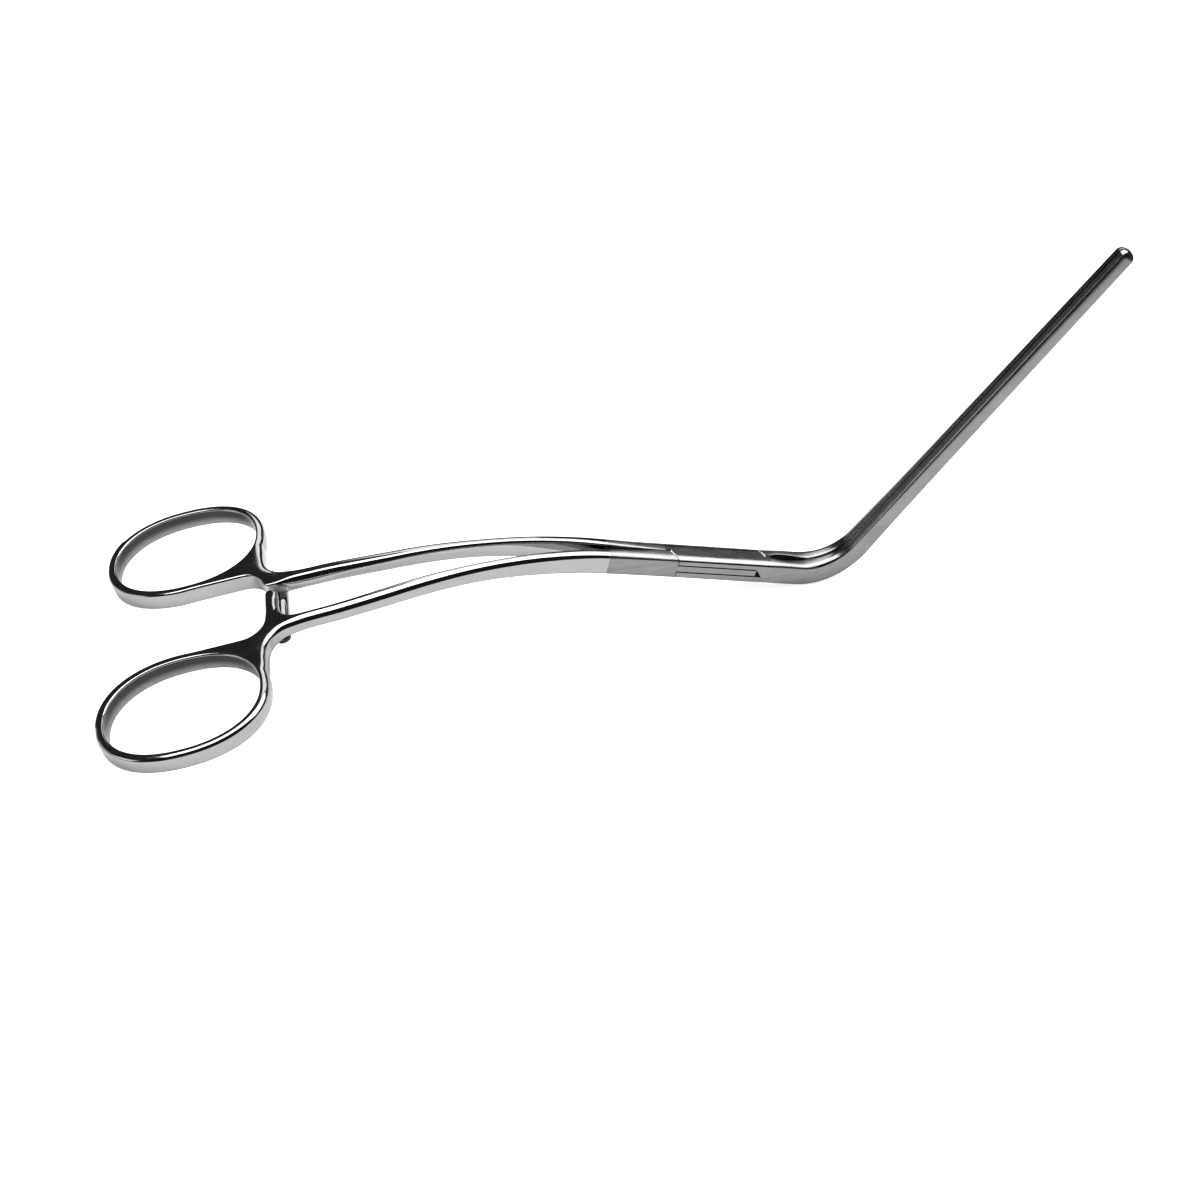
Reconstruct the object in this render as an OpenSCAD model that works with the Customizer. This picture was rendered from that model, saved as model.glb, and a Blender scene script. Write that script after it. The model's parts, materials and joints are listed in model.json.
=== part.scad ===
// Aortic clamp: two box-lock halves and the rivet that they turn on.
// The drawing is in millimetres. The clamp lies as it comes to rest, closed, on the backs of its
// two finger rings and on the heel of its jaws, with the jaws pointing up and forward along +X.
// The half that carries the box is on the +Y side at the handle and on the -Y side at the jaws.

/* [Finger rings] */
// Outside length of a finger ring, along the handle
ring_len = 39.3; // [36:0.1:44]
// Outside width of a finger ring, across the handle
ring_wid = 32.3; // [29:0.1:36]
// Width of the ring's band, seen from above
band_w = 2.05; // [2:0.05:3]
// Height of the ring's band
band_h = 4.6; // [4.2:0.1:5.6]
// Radius on the outer edges of the ring's band
band_round = 1.2; // [0.6:0.05:1.25]
// Radius on the edges of the ring's opening
hole_round = 0.6; // [0.4:0.05:0.75]
// Squareness of the ring's oval, where 2 is a plain ellipse
ring_square = 2.2; // [2:0.05:2.6]
// Distance from the clamp's middle plane to the centre of a ring
ring_offset = 27.2; // [25:0.2:30]
// How far the middle of the band lies below the middle of the shank
ring_drop = 0.3; // [0:0.1:0.8]

/* [Shanks] */
// Length of the level part of the handle, from the ring's centre
level_len = 52; // [46:1:60]
// Radius of the bend that lowers the handle from the line of the box
shank_bend_r = 122; // [100:1:150]
// Angle between the handle and the box
shank_angle = 22.3; // [16:0.1:26]
// Length of the straight stretch from the end of that bend to the rivet
box_lead = 29.9; // [27:0.1:36]
// Distance from the middle plane to the inner side of the shank at its root
shank_root_y = 5.8; // [5:0.1:7]
// Width of the shank at its root, seen from above
shank_root_w = 3.6; // [3:0.1:4]
// Width of the shank where it is slimmest
shank_slim_w = 2.8; // [2.4:0.1:3.2]
// Height of the shank at its root
shank_root_h = 3.5; // [3:0.1:4.2]
// Radius on the edges of the shank
shank_round = 1.25; // [0.8:0.05:1.3]

/* [Box lock] */
// Width of the closed box, both halves together
box_w = 6.9; // [5.6:0.1:7.4]
// Height of the box
box_h = 5.8; // [5.4:0.1:7]
// Radius on the outer edges of the box
box_round = 0.7; // [0.3:0.05:1]
// Distance from the rivet to the seam at the middle plane
seam_mid = 12.4; // [12:0.1:14.5]
// Distance from the rivet to the seam at the side of the box
seam_side = 10.6; // [10.5:0.1:11.5]
// Height of the slot between the two cheeks
slot_h = 2.3; // [2:0.1:3.2]
// Radius that the slot's ends keep clear around the rivet
slot_r = 10.4; // [9.8:0.1:10.6]
// Length of the pointed notch at each end of the slot
notch_len = 2; // [1.2:0.1:2.2]
// Radius of the rivet
pin_r = 1.9; // [1.5:0.1:2.3]
// Clearance between a moving face and the face that it runs on
running_gap = 0.05; // [0.03:0.01:0.08]

/* [Jaws] */
// Distance from the rivet to the start of the bend
heel_lead = 21.5; // [20:0.1:26]
// Radius of the bend, at the middle of the jaw
heel_r = 15.3; // [11:0.1:17]
// Angle between the jaws and the box
jaw_angle = 67.3; // [45:0.1:80]
// Length of the straight jaw in front of the bend
jaw_len = 92.6; // [75:0.2:105]
// Width of one jaw just in front of the bend
jaw_root_w = 2.8; // [2.5:0.05:3.2]
// Width of one jaw near its tip
jaw_tip_w = 1.45; // [1.4:0.05:2]
// Height of the jaw just in front of the bend
jaw_root_h = 4.8; // [3.8:0.1:5.2]
// Height of the jaw near its tip
jaw_tip_h = 3.9; // [3:0.1:4.2]
// Depth of the relief in each jaw, just in front of the box
relief_depth = 1.5; // [0.8:0.05:1.7]
// Pitch of the fine teeth on the jaw faces
jaw_pitch = 0.9; // [0.8:0.05:1.4]
// Height of the middle row of teeth
jaw_tooth_h = 0.35; // [0.25:0.05:0.45]

/* [Ratchet] */
// Distance from the ring's centre to the near edge of the ratchet arms
arm_x = 19.2; // [18.8:0.1:19.6]
// Width of the upper arm, along the handle
upper_arm_w = 3; // [2.8:0.1:3.6]
// Width of the lower arm, along the handle
lower_arm_w = 3.8; // [3:0.1:4.2]
// How much farther forward the lower arm stands than the upper one
arm_step = 1; // [0:0.1:1.4]
// Thickness of each arm, at the roots of its teeth
arm_t = 1.7; // [1.4:0.1:2]
// How far the upper arm reaches past the middle plane
upper_reach = 4.8; // [4:0.1:5.2]
// How far the lower arm reaches past the middle plane
lower_reach = 9.5; // [8.5:0.1:10.5]
// Depth of the ratchet teeth
rack_depth = 0.4; // [0.3:0.05:0.6]
// Pitch of the ratchet teeth
rack_pitch = 1.5; // [1.2:0.1:1.8]
// Number of ratchet teeth on each arm
rack_teeth = 4; // [3:1:5]
// Gap between the crests of the two racks, which lets the upper arm slide off
rack_gap = 0.3; // [0.28:0.02:0.5]

/* [Hidden] */
satin = "#8d8f8e";
polish = "#b9bbbc";

half_w = box_w / 2;
half_h = box_h / 2;
face_gap = running_gap / 2;
ring_x = ring_len / 2;
ring_y = ring_wid / 2;
oval_steps = 72;
corner_steps = 4;

// Path of the middle of the clamp in the side view, measured in mm from the rivet
bend_start = -box_lead;
bend_end = -box_lead - shank_bend_r * shank_angle * PI / 180;
ring_s = bend_end - level_len;
heel_end = heel_lead + heel_r * jaw_angle * PI / 180;
tip_s = heel_end + jaw_len;
tip_round = jaw_tip_h / 2;

function path_angle(s) =
    s < bend_end ? shank_angle :
    s < bend_start ? (bend_start - s) / shank_bend_r * 180 / PI :
    s < heel_lead ? 0 :
    s < heel_end ? (s - heel_lead) / heel_r * 180 / PI : jaw_angle;

// The point [x, z] of the path at the distance s from the rivet
function path_point(s) =
    s < bend_end ? path_point_arc(shank_angle) + (s - bend_end) * [cos(shank_angle), sin(shank_angle)] :
    s < bend_start ? path_point_arc(path_angle(s)) :
    s < heel_lead ? [s, 0] :
    s < heel_end ? heel_point(path_angle(s)) :
    heel_point(jaw_angle) + (s - heel_end) * [cos(jaw_angle), sin(jaw_angle)];
function path_point_arc(a) = [bend_start - shank_bend_r * sin(a), -shank_bend_r * (1 - cos(a))];
function heel_point(a) = [heel_lead + heel_r * sin(a), heel_r * (1 - cos(a))];

// The point that lies z above the path, at y across it
function on_path(s, y, z) =
    let (p = path_point(s), a = path_angle(s))
    [p[0] - z * sin(a), y, p[1] + z * cos(a)];

// Smooth value of column c at the distance s, through the rows of a table of stations
function slope(rows, c, i) =
    let (a = max(i - 1, 0), b = min(i + 1, len(rows) - 1))
    (rows[b][c] - rows[a][c]) / (rows[b][0] - rows[a][0]);
function row_at(rows, s, i = 0) =
    i >= len(rows) - 2 || s < rows[i + 1][0] ? i : row_at(rows, s, i + 1);
function station(rows, c, s) =
    let (
        i = row_at(rows, s),
        w = rows[i + 1][0] - rows[i][0],
        t = (s - rows[i][0]) / w,
        p = rows[i][c], q = rows[i + 1][c],
        m = slope(rows, c, i) * w, n = slope(rows, c, i + 1) * w
    )
    p * (1 + 2 * t) * pow(1 - t, 2) + m * t * pow(1 - t, 2)
    + q * t * t * (3 - 2 * t) + n * t * t * (t - 1);

// Outline of a bar: inner and outer side, half height, and the radii of the inner edges,
// the outer top edge and the outer bottom edge
function corner(y, z, r, start) =
    [for (i = [0 : corner_steps]) let (a = start + 90 * i / corner_steps) [y + r * cos(a), z + r * sin(a)]];
function bar_outline(y0, y1, h, r_in, r_top, r_low) = concat(
    corner(y1 - r_top, h - r_top, r_top, 0),
    corner(y0 + r_in, h - r_in, r_in, 90),
    corner(y0 + r_in, -h + r_in, r_in, 180),
    corner(y1 - r_low, -h + r_low, r_low, 270)
);
function bar_at(rows, s) = bar_outline(
    station(rows, 1, s), station(rows, 2, s), station(rows, 3, s),
    station(rows, 4, s), station(rows, 5, s), station(rows, 6, s)
);

// Closed solid through a list of rings of points
module skin(rings) {
    n = len(rings[0]);
    last = len(rings) - 1;
    points = [for (ring = rings) each ring];
    sides = [
        for (k = [0 : last - 1], i = [0 : n - 1])
            let (a = k * n + i, b = k * n + (i + 1) % n)
            [a, a + n, b + n, b]
    ];
    polyhedron(
        points = points,
        faces = concat([[for (i = [0 : n - 1]) i]], sides, [[for (i = [n - 1 : -1 : 0]) last * n + i]]),
        convexity = 10
    );
}

// The shank, from inside the ring's web to the box. Columns: distance, inner side, outer side,
// half height, radii of the inner, outer top and outer bottom edges, height of its middle
shank_in = shank_root_y;
shank_out = shank_root_y + shank_root_w;
root_h = shank_root_h / 2;
web_h = band_h / 2 - 0.05;
sr = shank_round;
shank_rows = [
    [ring_s + arm_x - 1, shank_in + 3.4, shank_out + 5.6, web_h - 0.1, 0.9, 0.9, 0.9, -ring_drop],
    [ring_s + arm_x, shank_in + 0.1, shank_out + 6.2, web_h, 0.9, 0.9, 0.9, -ring_drop],
    [ring_s + arm_x + 0.5, shank_in, shank_out + 4.5, web_h, 0.9, 0.95, 0.95, -ring_drop],
    [ring_s + arm_x + 1.3, shank_in, shank_out + 3, web_h - 0.02, 0.95, 1, 1, -0.9 * ring_drop],
    [ring_s + arm_x + 2.8, shank_in, shank_out + 1.6, web_h - 0.12, 1, 1.1, 1.1, -0.75 * ring_drop],
    [ring_s + arm_x + 4.8, shank_in, shank_out + 0.6, web_h - 0.3, 1.1, 1.2, 1.2, -0.5 * ring_drop],
    [ring_s + arm_x + 9, shank_in - 0.1, shank_out - 0.05, root_h + 0.05, sr, sr, sr, -0.1 * ring_drop],
    [bend_end - 15, shank_in - 0.3, shank_out - 0.35, root_h, sr, sr, sr, 0],
    [bend_end, shank_in - 1.4, shank_out - 1.55, root_h + 0.1, sr, sr, sr, 0],
    [bend_end + 18, shank_in - 2.6, shank_in - 2.6 + shank_slim_w, half_h - 0.8, sr, sr, sr, 0],
    [bend_end + 35, 1.85, 1.85 + shank_slim_w, half_h - 0.3, sr, sr, sr, 0],
    [bend_start, 0.9, half_w + 0.3, half_h - 0.03, 1, 1.1, 1.1, 0],
    [-20, 0.25, half_w + 0.05, half_h, 0.5, 0.85, 0.85, 0],
    [-seam_mid - 1.2, face_gap, half_w, half_h, 0.15, box_round, box_round, 0]
];
web_steps = 10;
shank_steps = 26;
web_first = ring_s + arm_x - 1;
web_last = ring_s + arm_x + 5;
shank_last = -seam_mid - 1.2;
shank_stops = concat(
    [for (k = [0 : web_steps - 1]) web_first + (web_last - web_first) * k / web_steps],
    [for (k = [0 : shank_steps]) web_last + (shank_last - web_last) * k / shank_steps]
);

module shank() {
    skin([
        for (s = shank_stops)
            [for (p = bar_at(shank_rows, s)) on_path(s, p[0], p[1] + station(shank_rows, 7, s))]
    ]);
}

// The jaw, from the box round the heel to its rounded tip, with the same columns
heel_mid = (heel_lead + heel_end) / 2;
jaw_rows = [
    [seam_mid + 1.2, face_gap, half_w, half_h, 0.15, box_round, box_round],
    [heel_lead - 4, face_gap, half_w + 0.05, half_h - 0.02, 0.15, box_round, box_round],
    [heel_lead + 2, face_gap, half_w + 0.1, half_h - 0.05, 0.15, box_round, 0.8],
    [heel_mid, face_gap, (half_w + jaw_root_w) / 2 + 0.1, (half_h + jaw_root_h / 2) / 2, 0.15, 0.6, 1],
    [heel_end, face_gap, jaw_root_w, jaw_root_h / 2, 0.15, 0.5, 1.2],
    [heel_end + jaw_len * 0.4, face_gap, jaw_root_w * 0.6 + jaw_tip_w * 0.4 - 0.05,
        jaw_root_h * 0.3 + jaw_tip_h * 0.2, 0.15, 0.45, 1.1],
    [tip_s, face_gap, jaw_tip_w, jaw_tip_h / 2, 0.15, 0.4, 1]
];
heel_steps = 14;
jaw_steps = 12;
tip_steps = 5;

// Distances along the jaw at which its outline is drawn, closest where it bends
tip_start = tip_s - tip_round;
jaw_stops = concat(
    [seam_mid + 1.2, (seam_mid + heel_lead) / 2 + 0.6],
    [for (k = [0 : heel_steps]) heel_lead + (heel_end - heel_lead) * k / heel_steps],
    [for (k = [1 : jaw_steps]) heel_end + (tip_start - heel_end) * k / jaw_steps],
    [for (k = [1 : tip_steps]) tip_start + tip_round * sin(85 * k / tip_steps)]
);

// Share of the full section that is left at the distance s inside the rounded tip
function tip_share(s) = s <= tip_start ? 1 : sqrt(1 - pow((s - tip_start) / tip_round, 2));

module jaw() {
    skin([
        for (s = jaw_stops)
            let (k = tip_share(s))
            [for (p = bar_at(jaw_rows, s)) on_path(s, face_gap + (p[0] - face_gap) * k, p[1] * k)]
    ]);
}

// The finger ring with the web that joins it to the shank, drawn on the handle's own plane:
// x from the ring's centre, y from the middle plane
function oval(a, b, from, to, n) = [
    for (i = [0 : n - 1])
        let (t = from + (to - from) * i / n, c = cos(t), s = sin(t))
        [a * sign(c) * pow(abs(c), 2 / ring_square), ring_offset + b * sign(s) * pow(abs(s), 2 / ring_square)]
];
function arc(x, y, r, from, to, n) =
    [for (i = [0 : n]) let (a = from + (to - from) * i / n) [x + r * cos(a), y + r * sin(a)]];

web_fillet = 5.7;
web_y = ring_offset - ring_y + 0.2;
ring_edge = concat(
    oval(ring_x, ring_y, -16, 268, 64),
    [[2.5, web_y], [6, web_y], [10, web_y]],
    arc(arm_x - web_fillet, web_y - web_fillet, web_fillet, 90, 30, 6),
    [[arm_x + 0.6, shank_in + 0.7], [arm_x + 2.6, shank_in + 0.2], [arm_x + 2.6, shank_in + 3.6],
     [arm_x, shank_in + 7], [arm_x - 0.1, shank_in + 12]]
);
hole_edge = oval(ring_x - band_w, ring_y - band_w, 0, 360, oval_steps);

// The outline moved inward by d, or outward where d is negative
function inset(points, d) = [
    for (i = [0 : len(points) - 1])
        let (
            n = len(points),
            t = points[(i + 1) % n] - points[(i + n - 1) % n],
            u = t / norm(t)
        )
        points[i] + d * [-u[1], u[0]]
];

// Layers of a rounded rim, as [height, inset]
rim_steps = 3;
function rim_up(r) = [
    for (i = [0 : rim_steps])
        let (a = 90 * i / rim_steps)
        [band_h / 2 - r + r * sin(a), r * (1 - cos(a))]
];
function rim(r) = concat([for (i = [rim_steps : -1 : 0]) [-rim_up(r)[i][0], rim_up(r)[i][1]]], rim_up(r));

module layered(points, layers) {
    skin([for (l = layers) [for (p = inset(points, l[1])) [p[0], p[1], l[0]]]]);
}

module finger_ring() {
    translate([0, 0, -ring_drop])
        difference() {
            layered(ring_edge, rim(band_round));
            layered(hole_edge, [for (l = rim(hole_round)) [l[0] * 1.001, -l[1] - 0.001]]);
        }
}

// Puts what is drawn on the handle's plane at the end of the path
module on_handle() {
    p = path_point(ring_s);
    translate([p[0], 0, p[1]]) rotate([0, -shank_angle, 0]) children();
}

// Ratchet: the interface is level with the handle's plane, below the shank
rack_z = -1.05;
upper_low = rack_z + rack_gap / 2;
lower_top = rack_z - rack_gap / 2;
rack_len = rack_teeth * rack_pitch;

// Saw-toothed edge from y = 0, rising by the depth over each pitch
function saw(n, pitch, depth, y0 = 0) =
    [for (i = [0 : n - 1]) each [[y0 + i * pitch, 0], [y0 + i * pitch + 0.3 * pitch, depth], [y0 + (i + 1) * pitch, 0]]];

// The lower arm of the box half, teeth up, reaching under the other handle
module lower_arm() {
    tip_r = lower_arm_w / 2;
    root = shank_root_y + 3;
    intersection() {
        translate([arm_x + arm_step, 0, 0])
            rotate([90, 0, 90])
                linear_extrude(lower_arm_w)
                    polygon(concat(
                        [[root, lower_top - arm_t - rack_depth], [root, lower_top + 0.5],
                         [shank_root_y, lower_top - rack_depth]],
                        [for (p = saw(rack_teeth, rack_pitch, rack_depth)) [rack_len - 1.5 - p[0], lower_top - rack_depth + p[1]]],
                        [[-lower_reach, lower_top - rack_depth], [-lower_reach, lower_top - arm_t - rack_depth]]
                    ));
        translate([arm_x + arm_step, 0, -10])
            linear_extrude(20)
                union() {
                    translate([0, -lower_reach + tip_r]) square([lower_arm_w, lower_reach - tip_r + root]);
                    translate([tip_r, -lower_reach + tip_r]) circle(tip_r, $fn = 48);
                }
    }
}

// The upper arm of the insert half, teeth down, drawn on the +Y side and mirrored with its half
module upper_arm() {
    tip_r = 0.8;
    root = shank_root_y + 2;
    intersection() {
        translate([arm_x, 0, 0])
            rotate([90, 0, 90])
                linear_extrude(upper_arm_w + 2.4)
                    polygon(concat(
                        [[-upper_reach, upper_low + rack_depth + arm_t], [-upper_reach, upper_low + rack_depth]],
                        [for (p = saw(rack_teeth, rack_pitch, rack_depth)) [p[0] - upper_reach + 1.2, upper_low + rack_depth - p[1]]],
                        [[root, upper_low + rack_depth], [root, upper_low + rack_depth + arm_t]]
                    ));
        translate([arm_x, 0, -10])
            linear_extrude(20)
                union() {
                    translate([0, -upper_reach + tip_r]) square([upper_arm_w, upper_reach - tip_r + root]);
                    translate([tip_r, -upper_reach]) square([upper_arm_w - 2 * tip_r, 2]);
                    for (x = [tip_r, upper_arm_w - tip_r])
                        translate([x, -upper_reach + tip_r]) circle(tip_r, $fn = 24);
                    difference() {
                        translate([upper_arm_w - 0.1, shank_root_y - 2.4]) square([2.5, 2.4]);
                        translate([upper_arm_w + 2.4, shank_root_y - 2.4]) circle(2.4, $fn = 48);
                    }
                }
    }
}

// Cut across the underside of the insert half, in which the lower arm runs
module arm_relief() {
    translate([arm_x + arm_step - 0.6, 0, upper_low - 5])
        cube([lower_arm_w + 1.2, shank_root_y + 16, 5]);
}

// Box: plan of the cheeks, of which one half turn is the same shape again
cheek_end = seam_mid + 1.7;
cheek_half = [[-cheek_end, half_w], [-cheek_end, face_gap], [-seam_mid, face_gap], [-seam_side, -half_w]];
cheek_plan = concat(cheek_half, [for (p = cheek_half) -p]);
box_outline = bar_outline(-half_w, half_w, half_h, box_round, box_round, box_round);

module box_bar() {
    rotate([90, 0, 90]) linear_extrude(2 * cheek_end, center = true) polygon(box_outline);
}

module half_turn() {
    children();
    rotate([0, 0, 180]) children();
}

module box_body() {
    intersection() {
        box_bar();
        linear_extrude(box_h + 1, center = true) polygon(cheek_plan);
    }
}

module slot_space() {
    cylinder(r = slot_r, h = slot_h, center = true, $fn = 96);
    half_turn() {
        translate([-cheek_end - 1, -half_w - 1, -slot_h / 2]) cube([cheek_end + 1, half_w + 1 + face_gap, slot_h]);
        notch();
    }
}

// Pointed notch at the slot's end, open at the side of the box
notch_depth = 1.3;
notch_x = sqrt(slot_r * slot_r - half_w * half_w) - 0.3;
module notch() {
    translate([0, -half_w + notch_depth, 0])
        rotate([90, 0, 0])
            linear_extrude(notch_depth + 1)
                polygon([
                    [notch_x - 0.6, -slot_h / 2], [notch_x - 0.6, slot_h / 2], [notch_x + 0.3, slot_h / 2],
                    [notch_x + notch_len, -slot_h / 2]
                ]);
}

module web() {
    web_t = slot_h - 2 * running_gap;
    intersection() {
        union() {
            cylinder(r = slot_r - running_gap, h = web_t, center = true, $fn = 96);
            half_turn()
                translate([-cheek_end, -half_w, -web_t / 2]) cube([cheek_end, half_w - face_gap, web_t]);
        }
        box_bar();
    }
}

// Full-height ends of the insert half, which meet the seams
module shoulders() {
    g = running_gap;
    intersection() {
        box_bar();
        linear_extrude(box_h + 1, center = true)
            half_turn()
                polygon([
                    [-cheek_end, -half_w], [-cheek_end, -face_gap], [-seam_mid - g, -face_gap],
                    [-seam_side - 1.4 * g, -half_w]
                ]);
    }
}

// Relief between the jaws just in front of the box, blunt at the box and pointed at the heel
relief_x = seam_mid + 4.4;
relief_nose = heel_lead + 2.8 - relief_x;
relief_back = relief_x - seam_mid - 0.1;
function bow_r(chord, depth) = (chord * chord + depth * depth) / (2 * depth);
module jaw_relief() {
    nose_r = bow_r(relief_nose, relief_depth);
    back_r = bow_r(relief_back, relief_depth);
    translate([relief_x, 0, -half_h - 1])
        linear_extrude(box_h + 2) {
            intersection() {
                translate([0, relief_depth - nose_r]) circle(nose_r, $fn = 180);
                square([relief_nose + 1, relief_depth + 1]);
            }
            intersection() {
                translate([0, relief_depth - back_r]) circle(back_r, $fn = 96);
                translate([-relief_back - 1, 0]) square([relief_back + 1.01, relief_depth + 1]);
            }
        }
}

// Rows of fine teeth on the jaw faces, drawn along the straight part of the jaw:
// x along it from the heel, y out of the face and z across it
tooth_start = 2;
tooth_end = jaw_len - tip_round - 1;
tooth_count = floor((tooth_end - tooth_start) / jaw_pitch);
row_w = 0.7;
module on_jaw() {
    p = path_point(heel_end);
    translate([p[0], 0, p[1]]) rotate([0, -jaw_angle, 0]) children();
}
module tooth_row(depth) {
    translate([tooth_start, 0, -row_w / 2])
        linear_extrude(row_w)
            polygon(concat(
                [[0, 0.2]],
                [for (i = [0 : tooth_count - 1]) each [[i * jaw_pitch, 0], [(i + 0.5) * jaw_pitch, -depth]]],
                [[tooth_count * jaw_pitch, 0], [tooth_count * jaw_pitch, 0.2]]
            ));
}
// Groove that takes the middle row, with a side clearance of its own
module tooth_groove() {
    side = 0.12;
    translate([tooth_start - 0.5, -face_gap - 1, -row_w / 2 - side])
        cube([tooth_count * jaw_pitch + 1, jaw_tooth_h + face_gap + 1.1, row_w + 2 * side]);
}
// Cross cuts that leave a row of teeth on each side of the groove
module tooth_cuts() {
    cut = 0.2;
    for (side = [-1, 1])
        translate([tooth_start, face_gap - 0.01, side * (row_w + 0.25) - row_w / 2])
            linear_extrude(row_w)
                polygon(concat(
                    [[0, -0.5]],
                    [for (i = [0 : tooth_count - 1]) each [[i * jaw_pitch, 0], [(i + 0.5) * jaw_pitch, cut]]],
                    [[tooth_count * jaw_pitch, 0], [tooth_count * jaw_pitch, -0.5]]
                ));
}

// How the closed clamp lies: on the lower back edge of the rings and on the heel
band_back = [-ring_x + band_round, band_h / 2 - band_round];
function handle_point(x, z) =
    let (p = path_point(ring_s))
    [p[0] + x * cos(shank_angle) - z * sin(shank_angle), p[1] + x * sin(shank_angle) + z * cos(shank_angle)];
low_edge = handle_point(band_back[0], -band_back[1] - ring_drop);
high_edge = handle_point(band_back[0], band_back[1] - ring_drop);
heel_low = [for (s = jaw_stops) if (s < heel_end + 1) let (p = on_path(s, 0, -station(jaw_rows, 3, s))) [p[0], p[2]]];
rest_tilt = min([
    for (p = heel_low)
        let (d = p - low_edge)
        atan2(d[1], d[0]) + asin(band_round / norm(d))
]);
function rest_x(p) = p[0] * cos(rest_tilt) + p[1] * sin(rest_tilt);
function rest_z(p) = -p[0] * sin(rest_tilt) + p[1] * cos(rest_tilt);
tip_points = [
    for (s = jaw_stops) if (s >= tip_start)
        let (k = tip_share(s))
        for (z = [-1, 0, 1]) let (p = on_path(s, 0, z * k * station(jaw_rows, 3, s))) [p[0], p[2]]
];
back_x = rest_x(high_edge) - band_round;
front_x = max([for (p = tip_points) rest_x(p)]);
floor_z = rest_z(low_edge) - band_round;

module at_rest() {
    translate([-(back_x + front_x) / 2, 0, -floor_z]) rotate([0, rest_tilt, 0]) children();
}

// The forging with the box: upper ring in the photograph's view, cheeks, and the nearer jaw
module box_half() {
    color(polish)
        at_rest() {
            difference() {
                union() {
                    on_handle() {
                        finger_ring();
                        lower_arm();
                    }
                    shank();
                    box_body();
                    mirror([0, 1, 0]) jaw();
                }
                slot_space();
                cylinder(r = pin_r, h = box_h + 2, center = true, $fn = 64);
                mirror([0, 1, 0]) jaw_relief();
                on_jaw() mirror([0, 1, 0]) {
                    tooth_groove();
                    tooth_cuts();
                }
            }
        }
}

// The forging that passes through the box: its web, shoulders and the farther jaw
module insert_half() {
    color(satin)
        at_rest() {
            difference() {
                union() {
                    mirror([0, 1, 0])
                        difference() {
                            union() {
                                on_handle() {
                                    finger_ring();
                                    upper_arm();
                                }
                                shank();
                            }
                            on_handle() arm_relief();
                        }
                    web();
                    shoulders();
                    jaw();
                    on_jaw() tooth_row(jaw_tooth_h);
                }
                cylinder(r = pin_r + running_gap, h = box_h + 2, center = true, $fn = 64);
                jaw_relief();
            }
        }
}

// The rivet, ground flush with both cheeks
module pivot_pin() {
    color(satin)
        at_rest()
            cylinder(r = pin_r, h = box_h, center = true, $fn = 64);
}

box_half();
insert_half();
pivot_pin();
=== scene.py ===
"""Aortic clamp, dressed: both forgings as smooth surfaces with polished and satin steel, on a white floor.

The sheet of sizes is in millimetres, in the frame of the box: origin at the rivet's centre, x along the
box towards the jaws, z along the rivet. rest_frame() carries a point from there to the row's frame in metres.
"""

import json
import math

import bmesh
import bpy
import numpy as np
from mathutils import Matrix, Vector, geometry


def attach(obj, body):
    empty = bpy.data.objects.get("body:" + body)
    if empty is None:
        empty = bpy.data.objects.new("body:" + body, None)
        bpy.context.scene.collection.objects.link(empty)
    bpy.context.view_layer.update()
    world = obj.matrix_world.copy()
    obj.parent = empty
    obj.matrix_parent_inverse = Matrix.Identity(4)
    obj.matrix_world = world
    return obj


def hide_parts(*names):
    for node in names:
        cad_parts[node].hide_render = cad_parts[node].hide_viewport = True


bl_info = {
    "name": "Aortic Clamp",
    "version": (1, 0, 0),
    "blender": (4, 5, 0),
    "location": "View3D > Sidebar > Clamp",
    "description": "Builds a polished box-lock clamp with angled jaws and its studio",
    "category": "Add Mesh",
}

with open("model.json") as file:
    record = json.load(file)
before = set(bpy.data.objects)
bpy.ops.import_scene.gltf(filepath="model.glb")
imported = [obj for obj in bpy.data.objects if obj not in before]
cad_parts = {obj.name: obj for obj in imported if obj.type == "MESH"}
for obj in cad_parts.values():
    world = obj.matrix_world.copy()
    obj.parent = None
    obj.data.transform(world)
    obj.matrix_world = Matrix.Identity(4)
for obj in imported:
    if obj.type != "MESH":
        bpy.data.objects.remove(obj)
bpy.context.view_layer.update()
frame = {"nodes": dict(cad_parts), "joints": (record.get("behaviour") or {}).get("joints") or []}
LOCK = frame["joints"][0]
TILT = math.atan2(LOCK["axis"][0], LOCK["axis"][2])
PIVOT = LOCK["pos_m"]
MM = 0.001


# Path of the clamp's middle line

BOX_LEAD = 29.9
SHANK_R = 122.0
SHANK_ANGLE = math.radians(22.3)
LEVEL_LEN = 52.0
HEEL_LEAD = 21.5
HEEL_R = 15.3
JAW_ANGLE = math.radians(67.3)
JAW_LEN = 92.6
BEND_START = -BOX_LEAD
BEND_END = -BOX_LEAD - SHANK_R * SHANK_ANGLE
RING_S = BEND_END - LEVEL_LEN
HEEL_END = HEEL_LEAD + HEEL_R * JAW_ANGLE
TIP_S = HEEL_END + JAW_LEN


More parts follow.
